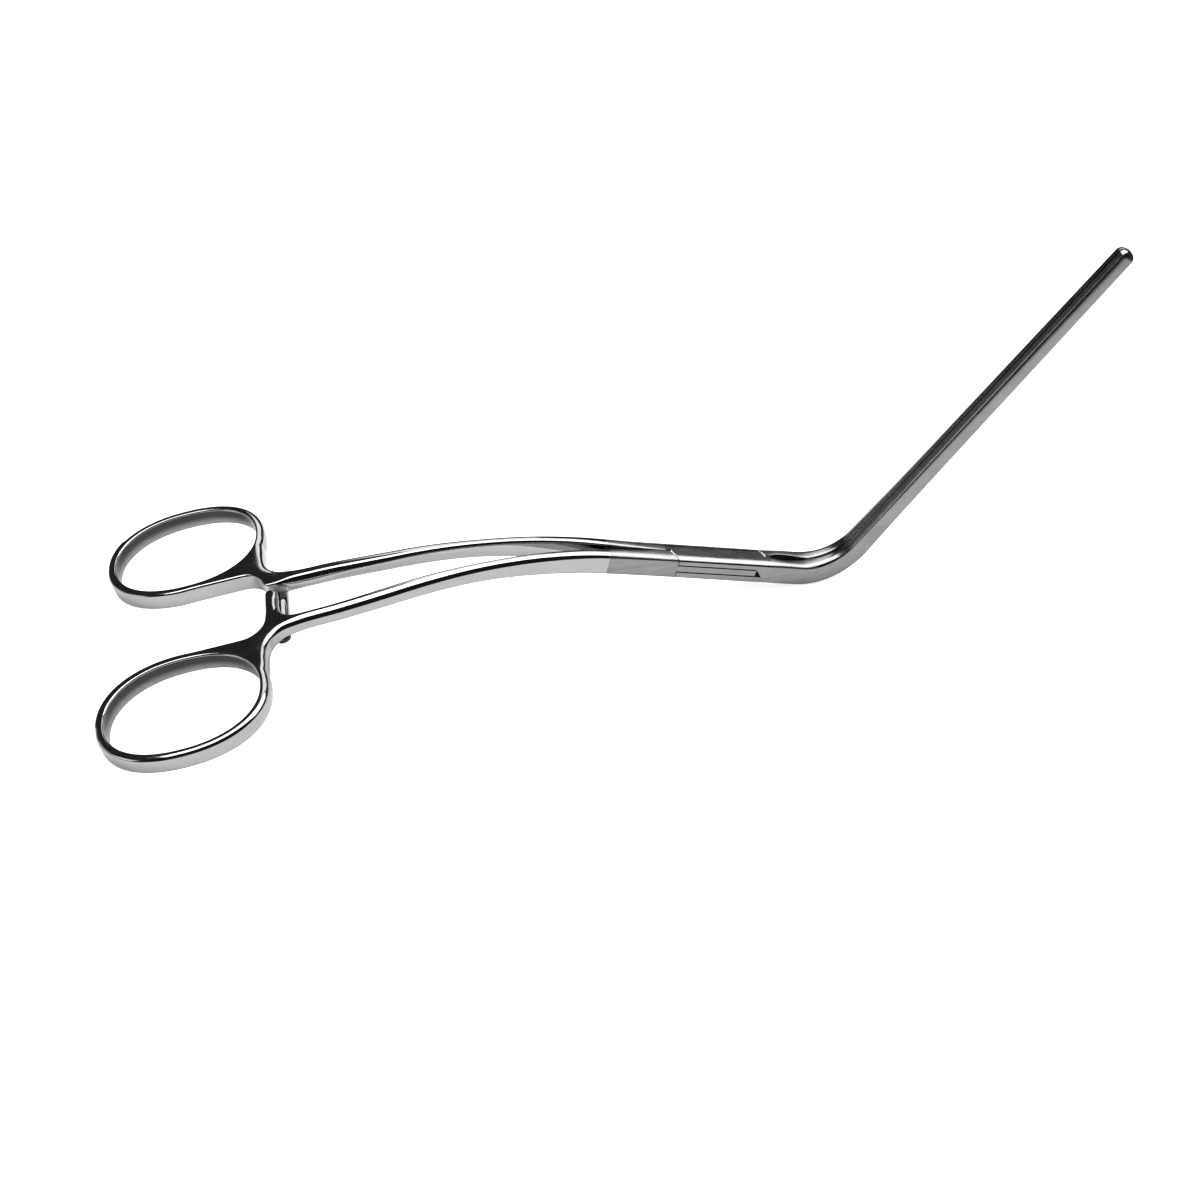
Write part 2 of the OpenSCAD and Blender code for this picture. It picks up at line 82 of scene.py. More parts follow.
def path(s):
    """Point (x, z) and slope of the middle line at arc length s from the rivet.

    Straight through the box; an arc of radius SHANK_R falls by SHANK_ANGLE behind it and runs on straight;
    an arc of radius HEEL_R climbs by JAW_ANGLE in front of it and runs on straight.
    """
    s = np.asarray(s, float)
    fall = np.clip((BEND_START - s) / SHANK_R, 0, SHANK_ANGLE)
    climb = np.clip((s - HEEL_LEAD) / HEEL_R, 0, JAW_ANGLE)
    slope = np.where(s < 0, fall, climb)
    behind = np.minimum(s - BEND_END, 0)
    ahead = np.maximum(s - HEEL_END, 0)
    x = np.clip(s, BEND_START, HEEL_LEAD) - SHANK_R * np.sin(fall) + HEEL_R * np.sin(climb)
    z = -SHANK_R * (1 - np.cos(fall)) + HEEL_R * (1 - np.cos(climb))
    x = x + behind * math.cos(SHANK_ANGLE) + ahead * math.cos(JAW_ANGLE)
    z = z + behind * math.sin(SHANK_ANGLE) + ahead * math.sin(JAW_ANGLE)
    return x, z, slope


def on_path(s, y, z):
    """Point that stands z off the middle line at s, square to it, and y across it."""
    x0, z0, a = path(s)
    return np.stack([x0 - z * np.sin(a), y + 0 * x0, z0 + z * np.cos(a)], axis=-1)


def rest_frame(points):
    """Box frame in mm to the row's frame in m: a turn by TILT about y, then the rivet's place."""
    x, y, z = np.moveaxis(np.asarray(points, float), -1, 0)
    return np.stack([
        PIVOT[0] + MM * (x * math.cos(TILT) + z * math.sin(TILT)),
        PIVOT[1] + MM * y,
        PIVOT[2] + MM * (-x * math.sin(TILT) + z * math.cos(TILT)),
    ], axis=-1)


def stations(rows, s):
    """All columns of a table of stations at s: a cubic through the rows whose slope at each is that between its neighbours."""
    rows = np.asarray(rows, float)
    at, values = rows[:, 0], rows[:, 1:]
    low = np.maximum(np.arange(len(at)) - 1, 0)
    high = np.minimum(np.arange(len(at)) + 1, len(at) - 1)
    slope = (values[high] - values[low]) / (at[high] - at[low])[:, None]
    s = np.clip(np.asarray(s, float), at[0], at[-1])
    i = np.clip(np.searchsorted(at, s, side="right") - 1, 0, len(at) - 2)
    w = at[i + 1] - at[i]
    t = ((s - at[i]) / w)[..., None]
    m, n = slope[i] * w[..., None], slope[i + 1] * w[..., None]
    p, q = values[i], values[i + 1]
    return p * (1 + 2 * t) * (1 - t) ** 2 + m * t * (1 - t) ** 2 + q * t * t * (3 - 2 * t) + n * t * t * (t - 1)


# Sizes of the forgings

HALF_W = 3.45
HALF_H = 2.92
BOX_ROUND = 0.6
TOP_WIDE, TOP_DEEP = 2.3, 0.85
EDGE = 0.22
FACE_GAP = 0.025
RUNNING = 0.05
SEAM_GAP = 0.2
SLIT = 0.28
SEAM_MID = 12.4
SEAM_SIDE = 10.6
BOX_END = 13.6
SLOT_HALF = 1.15
SLOT_R = 10.4
NOTCH_DEEP = 1.3
NOTCH_X = 11.5
RING_X, RING_Y = 19.65, 16.15
HOLE_X, HOLE_Y = 17.6, 14.1
RING_POWER = 2.2
RING_OFF = 27.2
WEB_X = 19.2
FILLET = 5.7
WEB_Y = 11.25
POLISH_END = -28.4

# Distance along the path, inner side, outer side
SIDES = [
    [RING_S + 24.0, 5.80, 10.00],
    [RING_S + 28.2, 5.70, 9.35],
    [RING_S + 37.0, 5.50, 9.05],
    [BEND_END, 4.40, 7.85],
    [BEND_END + 18, 3.20, 6.00],
    [BEND_END + 35, 1.85, 4.65],
    [BEND_START, 0.90, HALF_W + 0.3],
    [-20.0, 0.25, HALF_W + 0.05],
    [-BOX_END, FACE_GAP, HALF_W],
]
# Distance, half height, height of the middle, inner edges: width and depth of the upper, radius of the lower,
# outer edges: the same three
HEIGHTS = [
    [RING_S - 30, 2.30, -0.30, 0.55, 0.60, 0.60, 1.00, 1.00, 1.00],
    [RING_S + 15.0, 2.30, -0.30, 0.50, 0.55, 0.60, 1.00, 1.00, 1.00],
    [RING_S + 17.5, 2.20, -0.26, 0.35, 0.35, 0.50, 1.05, 1.10, 0.95],
    [RING_S + 20.0, 2.02, -0.19, 0.35, 0.35, 0.50, 1.10, 1.25, 0.85],
    [RING_S + 22.5, 1.88, -0.12, 0.60, 0.70, 0.55, 1.20, 1.45, 0.80],
    [RING_S + 25.5, 1.79, -0.04, 1.30, 1.80, 0.60, 1.35, 1.60, 0.70],
    [RING_S + 28.5, 1.76, -0.02, 1.50, 2.10, 0.60, 1.40, 1.70, 0.70],
    [RING_S + 37.0, 1.78, 0.00, 1.40, 1.90, 0.60, 1.40, 1.70, 0.70],
    [BEND_END, 1.88, 0.00, 1.10, 1.30, 0.60, 1.40, 1.70, 0.70],
    [BEND_END + 18, HALF_H - 0.8, 0.00, 0.90, 1.00, 0.60, 1.45, 1.50, 0.70],
    [BEND_END + 35, HALF_H - 0.3, 0.00, 0.90, 0.80, 0.50, 1.60, 1.40, 0.70],
    [BEND_START, HALF_H - 0.03, 0.00, 0.95, 0.50, 0.40, 1.85, 1.10, 0.65],
    [-20.0, HALF_H, 0.00, 0.70, 0.35, 0.25, 2.20, 0.95, 0.60],
    [-BOX_END, HALF_H, 0.00, EDGE, EDGE, 0.12, TOP_WIDE, TOP_DEEP, BOX_ROUND],
]
# Distance, outer side, half height, width and depth of the upper outer edge, radius of the lower one, inner edges
JAW = [
    [BOX_END, HALF_W, HALF_H, TOP_WIDE, TOP_DEEP, BOX_ROUND, 0.12],
    [HEEL_LEAD - 4, HALF_W + 0.05, HALF_H, 1.6, 0.8, BOX_ROUND, 0.12],
    [HEEL_LEAD + 2, HALF_W + 0.1, HALF_H - 0.05, 1.7, 0.85, 0.8, 0.15],
    [(HEEL_LEAD + HEEL_END) / 2, (HALF_W + 2.8) / 2 + 0.1, (HALF_H + 2.4) / 2 + 0.12, 1.4, 1.2, 1.0, 0.22],
    [HEEL_END, 3.00, 2.50, 1.50, 1.25, 1.2, 0.18],
    [HEEL_END + JAW_LEN * 0.2, 2.70, 2.36, 2.10, 1.75, 1.3, 0.14],
    [HEEL_END + JAW_LEN * 0.4, 2.50, 2.28, 2.10, 1.85, 1.3, 0.14],
    [TIP_S, 2.00, 1.93, 1.65, 1.60, 0.9, 0.12],
]
CROWN_TILT = np.radians([84, 78, 70, 62, 50, 32, 18, 9])
CROWN_RUN = np.array([0.40, 0.40, 0.35, 0.25, 0.15, 0.20, 0.65, 0.85])
TOOTH_PITCH = 0.9
TOOTH_H = 0.35


# Mesh making

def loft(grid, cap=True):
    """Closed shell over a grid of points, station by station, each station a closed loop, with its two ends filled."""
    n, m = grid.shape[:2]
    i, j = np.meshgrid(np.arange(n - 1), np.arange(m), indexing="ij")
    k = (j + 1) % m
    faces = np.stack([i * m + j, i * m + k, (i + 1) * m + k, (i + 1) * m + j], axis=-1).reshape(-1, 4).tolist()
    if cap:
        faces += [list(range(m))[::-1], [(n - 1) * m + q for q in range(m)]]
    return grid.reshape(-1, 3), faces


def arc(cx, cy, r, start, end, count):
    """Points of a circle's arc, from start to end degrees, both ends in."""
    a = np.radians(np.linspace(start, end, count))
    return np.stack([cx + r * np.cos(a), cy + r * np.sin(a)], axis=-1)


def oval(a, b, start, end, count):
    """Superellipse about the ring's centre: |x/a|^p + |y/b|^p = 1, from start to end degrees of its parameter."""
    t = np.radians(np.linspace(start, end, count))
    c, s = np.cos(t), np.sin(t)
    return np.stack([
        a * np.sign(c) * np.abs(c) ** (2 / RING_POWER),
        RING_OFF + b * np.sign(s) * np.abs(s) ** (2 / RING_POWER),
    ], axis=-1)


def even(points, step):
    """The polyline at even steps of arc length, ends kept."""
    d = np.r_[0, np.cumsum(np.linalg.norm(np.diff(points, axis=0), axis=1))]
    t = np.linspace(0, d[-1], max(int(round(d[-1] / step)), 2) + 1)
    return np.stack([np.interp(t, d, points[:, c]) for c in range(points.shape[1])], axis=-1)


def eased(points, reach, step):
    """The polyline with its corners eased: a running mean, weighted by a bell curve that reaches so many mm each way."""
    k = max(int(round(reach / step)), 1)
    w = np.exp(-0.5 * (np.arange(-3 * k, 3 * k + 1) / k) ** 2)
    w /= w.sum()
    head = 2 * points[0] - points[3 * k:0:-1]
    tail = 2 * points[-1] - points[-2:-3 * k - 2:-1]
    full = np.vstack([head, points, tail])
    return np.stack([np.convolve(full[:, c], w, "valid") for c in range(full.shape[1])], axis=-1)


def inward(points, closed):
    """Unit normals to the left of a curve, from the difference of each point's neighbours."""
    if closed:
        t = np.roll(points, -1, axis=0) - np.roll(points, 1, axis=0)
    else:
        t = np.gradient(points, axis=0)
    t /= np.linalg.norm(t, axis=1)[:, None]
    return np.stack([-t[:, 1], t[:, 0]], axis=-1)


RIM_STEPS = 8
RIM_ANGLES = np.radians(np.linspace(90, 0, RIM_STEPS + 1))


def rim_layers(plan, normal, half, middle, wide, deep, low):
    """Grid of points round a rounded rim: under face, lower quarter round, side, upper quarter of an oval, top face.

    At angle t of a quarter the point moves in by width * (1 - cos t) and stands at half - depth * (1 - sin t), with
    wide and deep above and low for both below.
    """
    c, s = 1 - np.cos(RIM_ANGLES), 1 - np.sin(RIM_ANGLES)
    inset = np.hstack([low[:, None] * c, wide[:, None] * c[::-1]])
    height = np.hstack([low[:, None] * s - half[:, None], half[:, None] - deep[:, None] * s[::-1]]) + middle[:, None]
    flat = plan[:, None, :] + normal[:, None, :] * inset[..., None]
    return np.concatenate([flat, height[..., None]], axis=-1)


def inside(points, loop):
    """Whether each point lies in the closed loop, by counting the edges that a ray along +x crosses."""
    x, y = points[:, 0][:, None], points[:, 1][:, None]
    x0, y0 = loop[:, 0], loop[:, 1]
    x1, y1 = np.roll(x0, -1), np.roll(y0, -1)
    with np.errstate(divide="ignore", invalid="ignore"):
        cross = ((y0 > y) != (y1 > y)) & (x < (x1 - x0) * (y - y0) / (y1 - y0) + x0)
    return cross.sum(axis=1) % 2 == 1


def plate(loops, sides):
    """Closed shell of a rounded plate from the rim grids of its outline and holes, its two flats filled by Delaunay triangles."""
    points, faces, base = [], [], []
    for grid in loops:
        n, m = grid.shape[:2]
        start = sum(len(p) for p in points)
        base.append(start)
        i, j = np.meshgrid(np.arange(n), np.arange(m - 1), indexing="ij")
        k = (i + 1) % n
        faces += (start + np.stack([i * m + j, k * m + j, k * m + j + 1, i * m + j + 1], axis=-1)).reshape(-1, 4).tolist()
        points.append(grid.reshape(-1, 3))
    for layer in sides:
        flat = [g[:, layer, :2] for g in loops]
        ids = np.concatenate([
            b + np.arange(g.shape[0]) * g.shape[1] + (layer % g.shape[1]) for b, g in zip(base, loops)
        ])
        rings, at = [], 0
        for f in flat:
            rings.append(list(range(at, at + len(f))))
            at += len(f)
        edges = [(r[q], r[(q + 1) % len(r)]) for r in rings for q in range(len(r))]
        cdt = geometry.delaunay_2d_cdt([Vector(p) for f in flat for p in f], edges, [], 0, 1e-7)
        new = np.array([list(v) for v in cdt[0]])
        source = [o[0] if o else -1 for o in cdt[3]]
        tris = np.array(cdt[2])
        middle = new[tris].mean(axis=1)
        keep = inside(middle, flat[0])
        for hole in flat[1:]:
            keep &= ~inside(middle, hole)
        for t in tris[keep]:
            if min(source[q] for q in t) >= 0:
                faces.append([int(ids[source[q]]) for q in t])
    return np.vstack(points), faces


def slab(outlines, heights):
    """Closed shell through flat outlines stacked at given heights, with the first and last filled."""
    grid = np.stack([np.c_[o, np.full(len(o), z)] for o, z in zip(outlines, heights)])
    return loft(grid)


def build(name, shells, body, node, materials, weld=2e-6, sharp=32.0):
    """One mesh object from shells of (points in mm in the box frame, faces, material index or one a face)."""
    bm = bmesh.new()
    for points, faces, index in shells:
        part = bmesh.new()
        verts = [part.verts.new(p) for p in rest_frame(points)]
        for f, face in enumerate(faces):
            if len(set(face)) < 3:
                continue
            try:
                new = part.faces.new([verts[q] for q in face])
            except ValueError:
                continue
            new.smooth = True
            new.material_index = int(index if np.isscalar(index) else index[f])
        bmesh.ops.remove_doubles(part, verts=part.verts, dist=weld)
        bmesh.ops.dissolve_degenerate(part, edges=part.edges, dist=weld)
        bmesh.ops.recalc_face_normals(part, faces=part.faces)
        spare = bpy.data.meshes.new("spare")
        part.to_mesh(spare)
        part.free()
        bm.from_mesh(spare)
        bpy.data.meshes.remove(spare)
    mesh = bpy.data.meshes.new(name)
    bm.to_mesh(mesh)
    bm.free()
    for m in materials:
        mesh.materials.append(m)
    mesh.set_sharp_from_angle(angle=math.radians(sharp))
    obj = bpy.data.objects.new(name, mesh)
    bpy.context.scene.collection.objects.link(obj)
    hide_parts(node)
    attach(obj, body)
    return obj


# Shapes of the halves, all drawn on the +y side

def handle_outline(step, arm):
    """Plan of ring, web and shank in (distance along the path, y), from the outer side at the box round to the inner side.

    The shank's sides follow SIDES, the ring is a superellipse, and the web's fillets join them. With arm, the inner
    side goes out round the upper ratchet arm on its way to the ring.
    """
    s = np.linspace(-BOX_END, RING_S + 24.0, 260)
    sides = stations(SIDES, s)
    outer = np.c_[s - RING_S, sides[:, 1]]
    inner = np.c_[s - RING_S, sides[:, 0]][::-1]
    web_out = np.array([[23.0, 10.35], [22.0, 10.95], [20.5, 12.4], [19.7, 13.9], [19.25, 15.8], [19.1, 17.8], [19.15, 20.0]])
    ring = oval(RING_X, RING_Y, -15, 267, 320)
    flat = np.array([[3.0, WEB_Y - 0.02], [8.0, WEB_Y]])
    fillet = arc(WEB_X - FILLET, WEB_Y - FILLET, FILLET, 90, 0 if arm else 9, 16)
    if arm:
        tip = -ARM_REACH
        around = np.vstack([
            [[ARM_X0, 3.0]],
            arc(ARM_X0 + 0.9, tip + 0.9, 0.9, 180, 270, 8),
            arc(ARM_X1 - 0.9, tip + 0.9, 0.9, 270, 360, 8),
            (arc(0, 0, 1, 180, 95, 14) * [FILLET_X, FILLET_Y] + [ARM_X1 + FILLET_X, 5.68 - FILLET_Y]),
        ])
        inner = inner[inner[:, 0] > ARM_X1 + FILLET_X + 0.5]
    else:
        around = np.array([[WEB_X + 0.25, 5.9], [20.5, 5.82], [22.5, 5.8]])
    curve = np.vstack([outer, web_out, ring, flat, fillet, around, inner])
    curve = eased(even(curve, step), 0.5, step)
    curve = even(curve, step)
    curve[0], curve[-1] = [-BOX_END - RING_S, HALF_W], [-BOX_END - RING_S, FACE_GAP]
    return np.c_[curve[:, 0] + RING_S, curve[:, 1]]


ARM_X0, ARM_X1 = 19.2, 22.2
ARM_REACH = 4.8
FILLET_X, FILLET_Y = 3.2, 5.4
ARM_TOP, ARM_LOW = 1.2, -0.5
RACK_TOOTH = 0.4
RACK_PITCH = 1.5
LOWER_X0, LOWER_X1 = 20.2, 24.0
LOWER_REACH = 10.6
LOWER_TOP, LOWER_BOTTOM = -1.2, -3.3


def handle(step, arm):
    """Shell of ring, web and shank up to the box, with the height, middle and rim radius of HEIGHTS; polish or satin by distance."""
    plan = handle_outline(step, arm)
    values = stations(HEIGHTS, plan[:, 0])
    half, middle = values[:, 0].copy(), values[:, 1].copy()
    on_inner = np.arange(len(plan)) > len(plan) / 2
    edges = np.where(on_inner[:, None], values[:, 2:5], values[:, 5:8])
    s = plan[:, 0]
    if arm:
        slow = np.interp(s, [RING_S + 20, RING_S + 27, BEND_END + 8, BEND_END + 22], [0, 1, 1, 0]) * ~on_inner
        edges[:, 0] += 0.5 * slow
        edges[:, 1] -= 0.25 * slow
        corner = on_inner & (s > RING_S + (ARM_X0 + ARM_X1) / 2) & (s < RING_S + 30)
        edges[corner, :2] = np.maximum(edges[corner, :2], [1.25, 1.35])
    else:
        far = np.interp(s, [RING_S + 20, RING_S + 24, RING_S + 33, BEND_END, BEND_END + 25, BEND_START, -22], [1, 0.5, 0.5, 1, 1, 0.8, 1])
        edges[:, :2] *= np.where(on_inner, 1, far)[:, None]
        edges[:, 1] += on_inner * np.interp(s, [RING_S + 22, RING_S + 26, RING_S + 32, RING_S + 40], [0, 0.8, 0.8, 0])
    if arm:
        fade = np.clip((6.4 - plan[:, 1]) / 4.2, 0, 1) * (plan[:, 0] < RING_S + 27) * on_inner
        fade = (fade * fade * (3 - 2 * fade))[:, None]
        top = (middle + half) * (1 - fade[:, 0]) + ARM_TOP * fade[:, 0]
        low = (middle - half) * (1 - fade[:, 0]) + ARM_LOW * fade[:, 0]
        half, middle = (top - low) / 2, (top + low) / 2
        right = plan[:, 0] > RING_S + (ARM_X0 + ARM_X1) / 2
        rim = np.where(right[:, None], [0.85, 1.3, 0.3], [0.35, 0.35, 0.3])
        rim[:, 0] += right * 0.45 * np.clip((plan[:, 1] + 3.2) / 1.5, 0, 1)
        edges = edges * (1 - fade) + rim * fade
    normal = inward(plan, False)
    centre = np.array([RING_S, RING_OFF])
    probe = len(plan) // 2
    if np.dot(normal[probe], centre - plan[probe]) < 0:
        normal = -normal
    outline = rim_layers(plan, normal, half, middle, *edges.T)
    hole_plan = oval(HOLE_X, HOLE_Y, 0, 360, int(100 / step) + 1)[:-1]
    hole_plan = np.c_[hole_plan[:, 0] + RING_S, hole_plan[:, 1]]
    hv = stations(HEIGHTS, hole_plan[:, 0])
    out = inward(hole_plan, True)
    if np.dot(out[0], hole_plan[0] - centre) < 0:
        out = -out
    wide = np.full(len(hv), 0.38)
    hole = rim_layers(hole_plan, out, hv[:, 0], hv[:, 1], wide, wide, wide)
    points, faces = plate([outline, hole], [0, -1])
    faces_mid = np.array([points[f][:, 0].mean() for f in faces])
    hole_faces = np.zeros(len(faces), bool)
    first = outline.shape[0] * outline.shape[1]
    hole_faces[[i for i, f in enumerate(faces) if len(f) == 4 and min(f) >= first]] = True
    flat_side = np.array([abs(np.ptp(points[f][:, 2])) > 1.2 for f in faces])
    index = np.where(faces_mid > POLISH_END, 4, 0)
    # The ring's hole walls take the brushed walls steel, whose colour carries painted shade towards their upper edge.
    index[hole_faces & flat_side] = 2
    # A facet of the far web's camera-side wall takes the bright steel of slot 3: a painted reflection of light, on a
    # polished surface.
    if not arm:
        place = np.array([points[f][:, :2].mean(axis=0) for f in faces])
        facet = (place[:, 0] > RING_S + 16.5) & (place[:, 0] < RING_S + 25) & (place[:, 1] < 6.6)
        index[facet & flat_side] = 3
    return on_path(points[:, 0], points[:, 1], points[:, 2]), faces, index


def mirrored(shell):
    """The same shell on the other side of the middle plane."""
    points, faces, index = shell
    return points * [1, -1, 1], faces, index


def turned(shell):
    """The same shell turned by half a turn about the rivet."""
    points, faces, index = shell
    return points * [-1, -1, 1], faces, index


def seam(y):
    """Distance from the rivet to the seam at the distance y from the middle plane."""
    return SEAM_MID + (SEAM_SIDE - SEAM_MID) * np.asarray(y) / HALF_W


def rounded_stack(outline_of, low, high, round_low, round_high):
    """Slab with rounded long sides and eased edges, from outline_of(half width, easing) for every layer.

    The sides round in by an oval above and a quarter round below; the easing of the seam's edges grows to EDGE
    over the last EDGE of the height.
    """
    layers = []
    quarter = np.radians(np.linspace(0, 90, RIM_STEPS + 1))
    if round_low:
        layers += [(HALF_W - BOX_ROUND * (1 - math.cos(a)), low + BOX_ROUND * (1 - math.sin(a))) for a in quarter[::-1]]
    else:
        layers.append((HALF_W, low))
    if round_high:
        layers += [(HALF_W - TOP_WIDE * (1 - math.cos(a)), high - TOP_DEEP * (1 - math.sin(a))) for a in quarter]
    else:
        layers.append((HALF_W, high))
    eased_in = [max(0.0, EDGE - (high - z)) * round_high + max(0.0, EDGE - (z - low)) * round_low for _, z in layers]
    outlines = [outline_of(w, e) for (w, _), e in zip(layers, eased_in)]
    points, faces = slab(outlines, [z for _, z in layers])
    index = np.ones(len(faces), int)
    around = len(outlines[0])
    # The eased seam edges at the top take the bright steel of slot 3: worn edges, brightened as a painted highlight.
    for half_plan in range(around // 11):
        for row in range(len(layers) - 5, len(layers) - 1) if round_high else ():
            start = row * around + half_plan * 11
            index[start + 2:start + 10] = 3
    return points, faces, index


def cheek_plan(w, e):
    """Plan of a cheek w wide each way: from the shank's side along the rear seam, then the same after half a turn."""
    y = np.linspace(FACE_GAP + e, w, 9)
    rear = np.vstack([[[-BOX_END, w], [-BOX_END, FACE_GAP + e]], np.c_[e - seam(y), -y]])
    rear[2, 1] = FACE_GAP + e
    return np.vstack([rear, -rear])


def shoulder_plan(w, e):
    """Plan of the rear shoulder of the half that passes through, a gap short of the seam."""
    y = np.linspace(FACE_GAP + e, w, 9)
    return np.vstack([[[-BOX_END, -w], [-BOX_END, -FACE_GAP - e]], np.c_[-seam(y) - SEAM_GAP - e, -y]])


def arc_end(r, side, count=24):
    """Arc of radius r about the rivet from the middle plane to the box's side."""
    stop = math.degrees(math.asin(HALF_W / r))
    start = math.degrees(math.asin(FACE_GAP / r))
    return arc(0, 0, r, start, stop, count) * [side, 1]


def box_shells():
    """Cheeks and the solid ends of the slot, of the half that carries the box."""
    shells = [
        rounded_stack(cheek_plan, SLOT_HALF, HALF_H, False, True),
        rounded_stack(cheek_plan, -HALF_H, -SLOT_HALF, True, False),
    ]
    curve = arc_end(SLOT_R, -1)
    deep = HALF_W - NOTCH_DEEP
    inner = np.vstack([[[-BOX_END, HALF_W], [-BOX_END, FACE_GAP]], curve])
    clipped = inner.copy()
    clipped[:, 1] = np.minimum(clipped[:, 1], deep)
    block = (*slab([clipped, clipped], [-SLOT_HALF, SLOT_HALF]), 1)
    x_low, x_top = NOTCH_X, math.sqrt(SLOT_R**2 - HALF_W**2)
    outer = [np.array([[-BOX_END, HALF_W], [-BOX_END, deep - 0.01], [-x, deep - 0.01], [-x, HALF_W]]) for x in (x_low, x_top)]
    side = (*slab(outer, [-SLOT_HALF, SLOT_HALF]), 1)
    return shells + [block, side, turned(block), turned(side)]


def web_shell():
    """The web that fills the slot: a disc cut off at the box's sides, with the corner blocks that reach the shoulders."""
    r = SLOT_R - 2 * RUNNING
    stop, start = math.degrees(math.asin(HALF_W / r)), math.degrees(math.asin(FACE_GAP / r))
    root = SEAM_SIDE + SEAM_GAP
    half = np.vstack([
        [[-BOX_END, -FACE_GAP], [-BOX_END, 0.6 - HALF_W], [-root, 0.6 - HALF_W], [-root, -HALF_W], [0, -HALF_W]],
        arc(0, 0, r, -stop, -start, 24),
    ])
    outline = np.vstack([half, -half])
    z = SLOT_HALF - SLIT
    ease = outline * [1, (HALF_W - 0.08) / HALF_W]
    return (*slab([ease, outline, outline, ease], [-z, 0.08 - z, z - 0.08, z]), 1)


def relief(s):
    """Depth of the hollow in a jaw's inner face: two bows that meet 4.5 mm in front of the seam, the back one blunter."""
    top = SEAM_MID + 4.5
    nose, back, depth = HEEL_LEAD + 2.8 - top, 4.2, 1.1

    def bow(t, chord):
        r = (chord * chord + depth * depth) / (2 * depth)
        return np.sqrt(np.maximum(r * r - t * t, 0)) - (r - depth)

    x = path(s)[0]
    return np.maximum(np.where(x < top, bow(top - x, back), bow(x - top, nose)), 0)


def jaw_shell(grooved):
    """Jaw from the box round the heel to its rounded tip, on the +y side, with the rows of fine teeth on its inner face.

    Each section runs round: outer side with its two quarter rounds, then down the inner face through the edges of
    three rows. A tooth is a triangle wave of the distance, raised on the middle row or cut into the rows beside it.
    """
    coarse = np.r_[np.linspace(BOX_END, HEEL_LEAD, 34), np.linspace(HEEL_LEAD, HEEL_END, 40)[1:]]
    tip_r = 1.7
    end = TIP_S - 0.4 - tip_r
    first, count = HEEL_END + 2.0, int((JAW_LEN - tip_r - 3.0) / TOOTH_PITCH)
    teeth = first + TOOTH_PITCH * np.arange(0, count * 2 + 1) / 2
    toothed = np.sort(np.r_[teeth, teeth[:-1] + 0.02])
    stops = np.r_[coarse, [first - 0.55, first - 0.5], toothed, [teeth[-1] + 0.5, teeth[-1] + 0.55, end]]
    stops = np.r_[stops, end + tip_r * np.sin(np.radians(np.linspace(6, 88, 12)))]
    values = stations(JAW, stops)
    outer, half, wide, deep, r_low, edge = values.T
    share = np.sqrt(np.maximum(1 - (np.maximum(stops - end, 0) / tip_r) ** 2, 0.0004))
    wave = np.abs(((stops - first) / TOOTH_PITCH * 2 + 1) % 2 - 1)
    wave = np.where((stops >= first - 1e-6) & (stops <= teeth[-1] + 1e-6), 1 - wave, 0)
    in_rows = ((stops > first - 0.52) & (stops < teeth[-1] + 0.52)).astype(float)
    face = FACE_GAP + relief(stops)
    quarter = np.linspace(0, 90, RIM_STEPS + 1)
    up, across = np.sin(np.radians(quarter)), 1 - np.cos(np.radians(quarter))
    blend = np.clip((stops - HEEL_LEAD) / 14, 0, 1)[:, None]
    run_y, run_z = np.cumsum(CROWN_RUN * np.cos(CROWN_TILT)), np.cumsum(CROWN_RUN * np.sin(CROWN_TILT))
    across = across + (np.r_[0, run_y] / run_y[-1] - across) * blend
    up = up + (np.r_[0, run_z] / run_z[-1] - up) * blend
    y_top = outer[:, None] - wide[:, None] * across
    z_top = half[:, None] - deep[:, None] * (1 - up)
    y_low = outer[:, None] - r_low[:, None] * (1 - np.cos(np.radians(quarter)))
    z_low = -(half[:, None] - r_low[:, None] * (1 - np.sin(np.radians(quarter))))
    row, gap = 0.35, 0.12
    levels = [1.1, 1.05, 0.9, row + gap + 0.02, row + gap, row, row - 0.02, -row + 0.02, -row, -row - gap, -row - gap - 0.02, -0.9, -1.05, -1.1]
    turn = np.radians([0, 30, 60, 90])
    inset, drop = edge[:, None] * (1 - np.sin(turn)), edge[:, None] * (1 - np.cos(turn))
    flats = [np.full(len(stops), v) for v in levels]
    z_in = np.hstack([half[:, None] - drop, np.stack(flats, axis=1), (drop - half[:, None])[:, ::-1]])
    rebate = 0.2 * np.clip((stops - HEEL_LEAD) / 4, 0, 1)[:, None]
    push = np.hstack([inset + rebate, np.zeros((len(stops), len(levels))), inset[:, ::-1] + rebate])
    push[:, [4, 17]] += rebate
    if grooved:
        groove = (TOOTH_H + 0.1) * in_rows
        push[:, 8:14] += groove[:, None]
        push[:, [6, 7, 14, 15]] += (0.2 * wave)[:, None]
    else:
        push[:, 10:12] -= ((TOOTH_H + FACE_GAP) * wave * in_rows)[:, None]
    y_in = face[:, None] + push
    y = np.hstack([y_low[:, ::-1], y_top, y_in])
    z = np.hstack([z_low[:, ::-1], z_top, z_in])
    y = FACE_GAP + (y - FACE_GAP) * share[:, None]
    z = z * share[:, None] + 0.23 * blend
    points = on_path(np.repeat(stops, y.shape[1]), y.ravel(), z.ravel())
    points, faces = loft(points.reshape(len(stops), -1, 3))
    at = np.array([f[0] // y.shape[1] for f in faces])
    return points, faces, np.where(stops[np.minimum(at, len(stops) - 1)] < HEEL_LEAD + 5, 4, 1)


def saw(y, start, pitch, depth, count):
    """Saw-toothed height along y: rising over the first third of each pitch, then falling over the rest."""
    t = (np.asarray(y) - start) / pitch
    f = t - np.floor(t)
    rise = np.where(f < 0.3, f / 0.3, (1 - f) / 0.7)
    return np.where((t >= 0) & (t < count), depth * rise, 0)


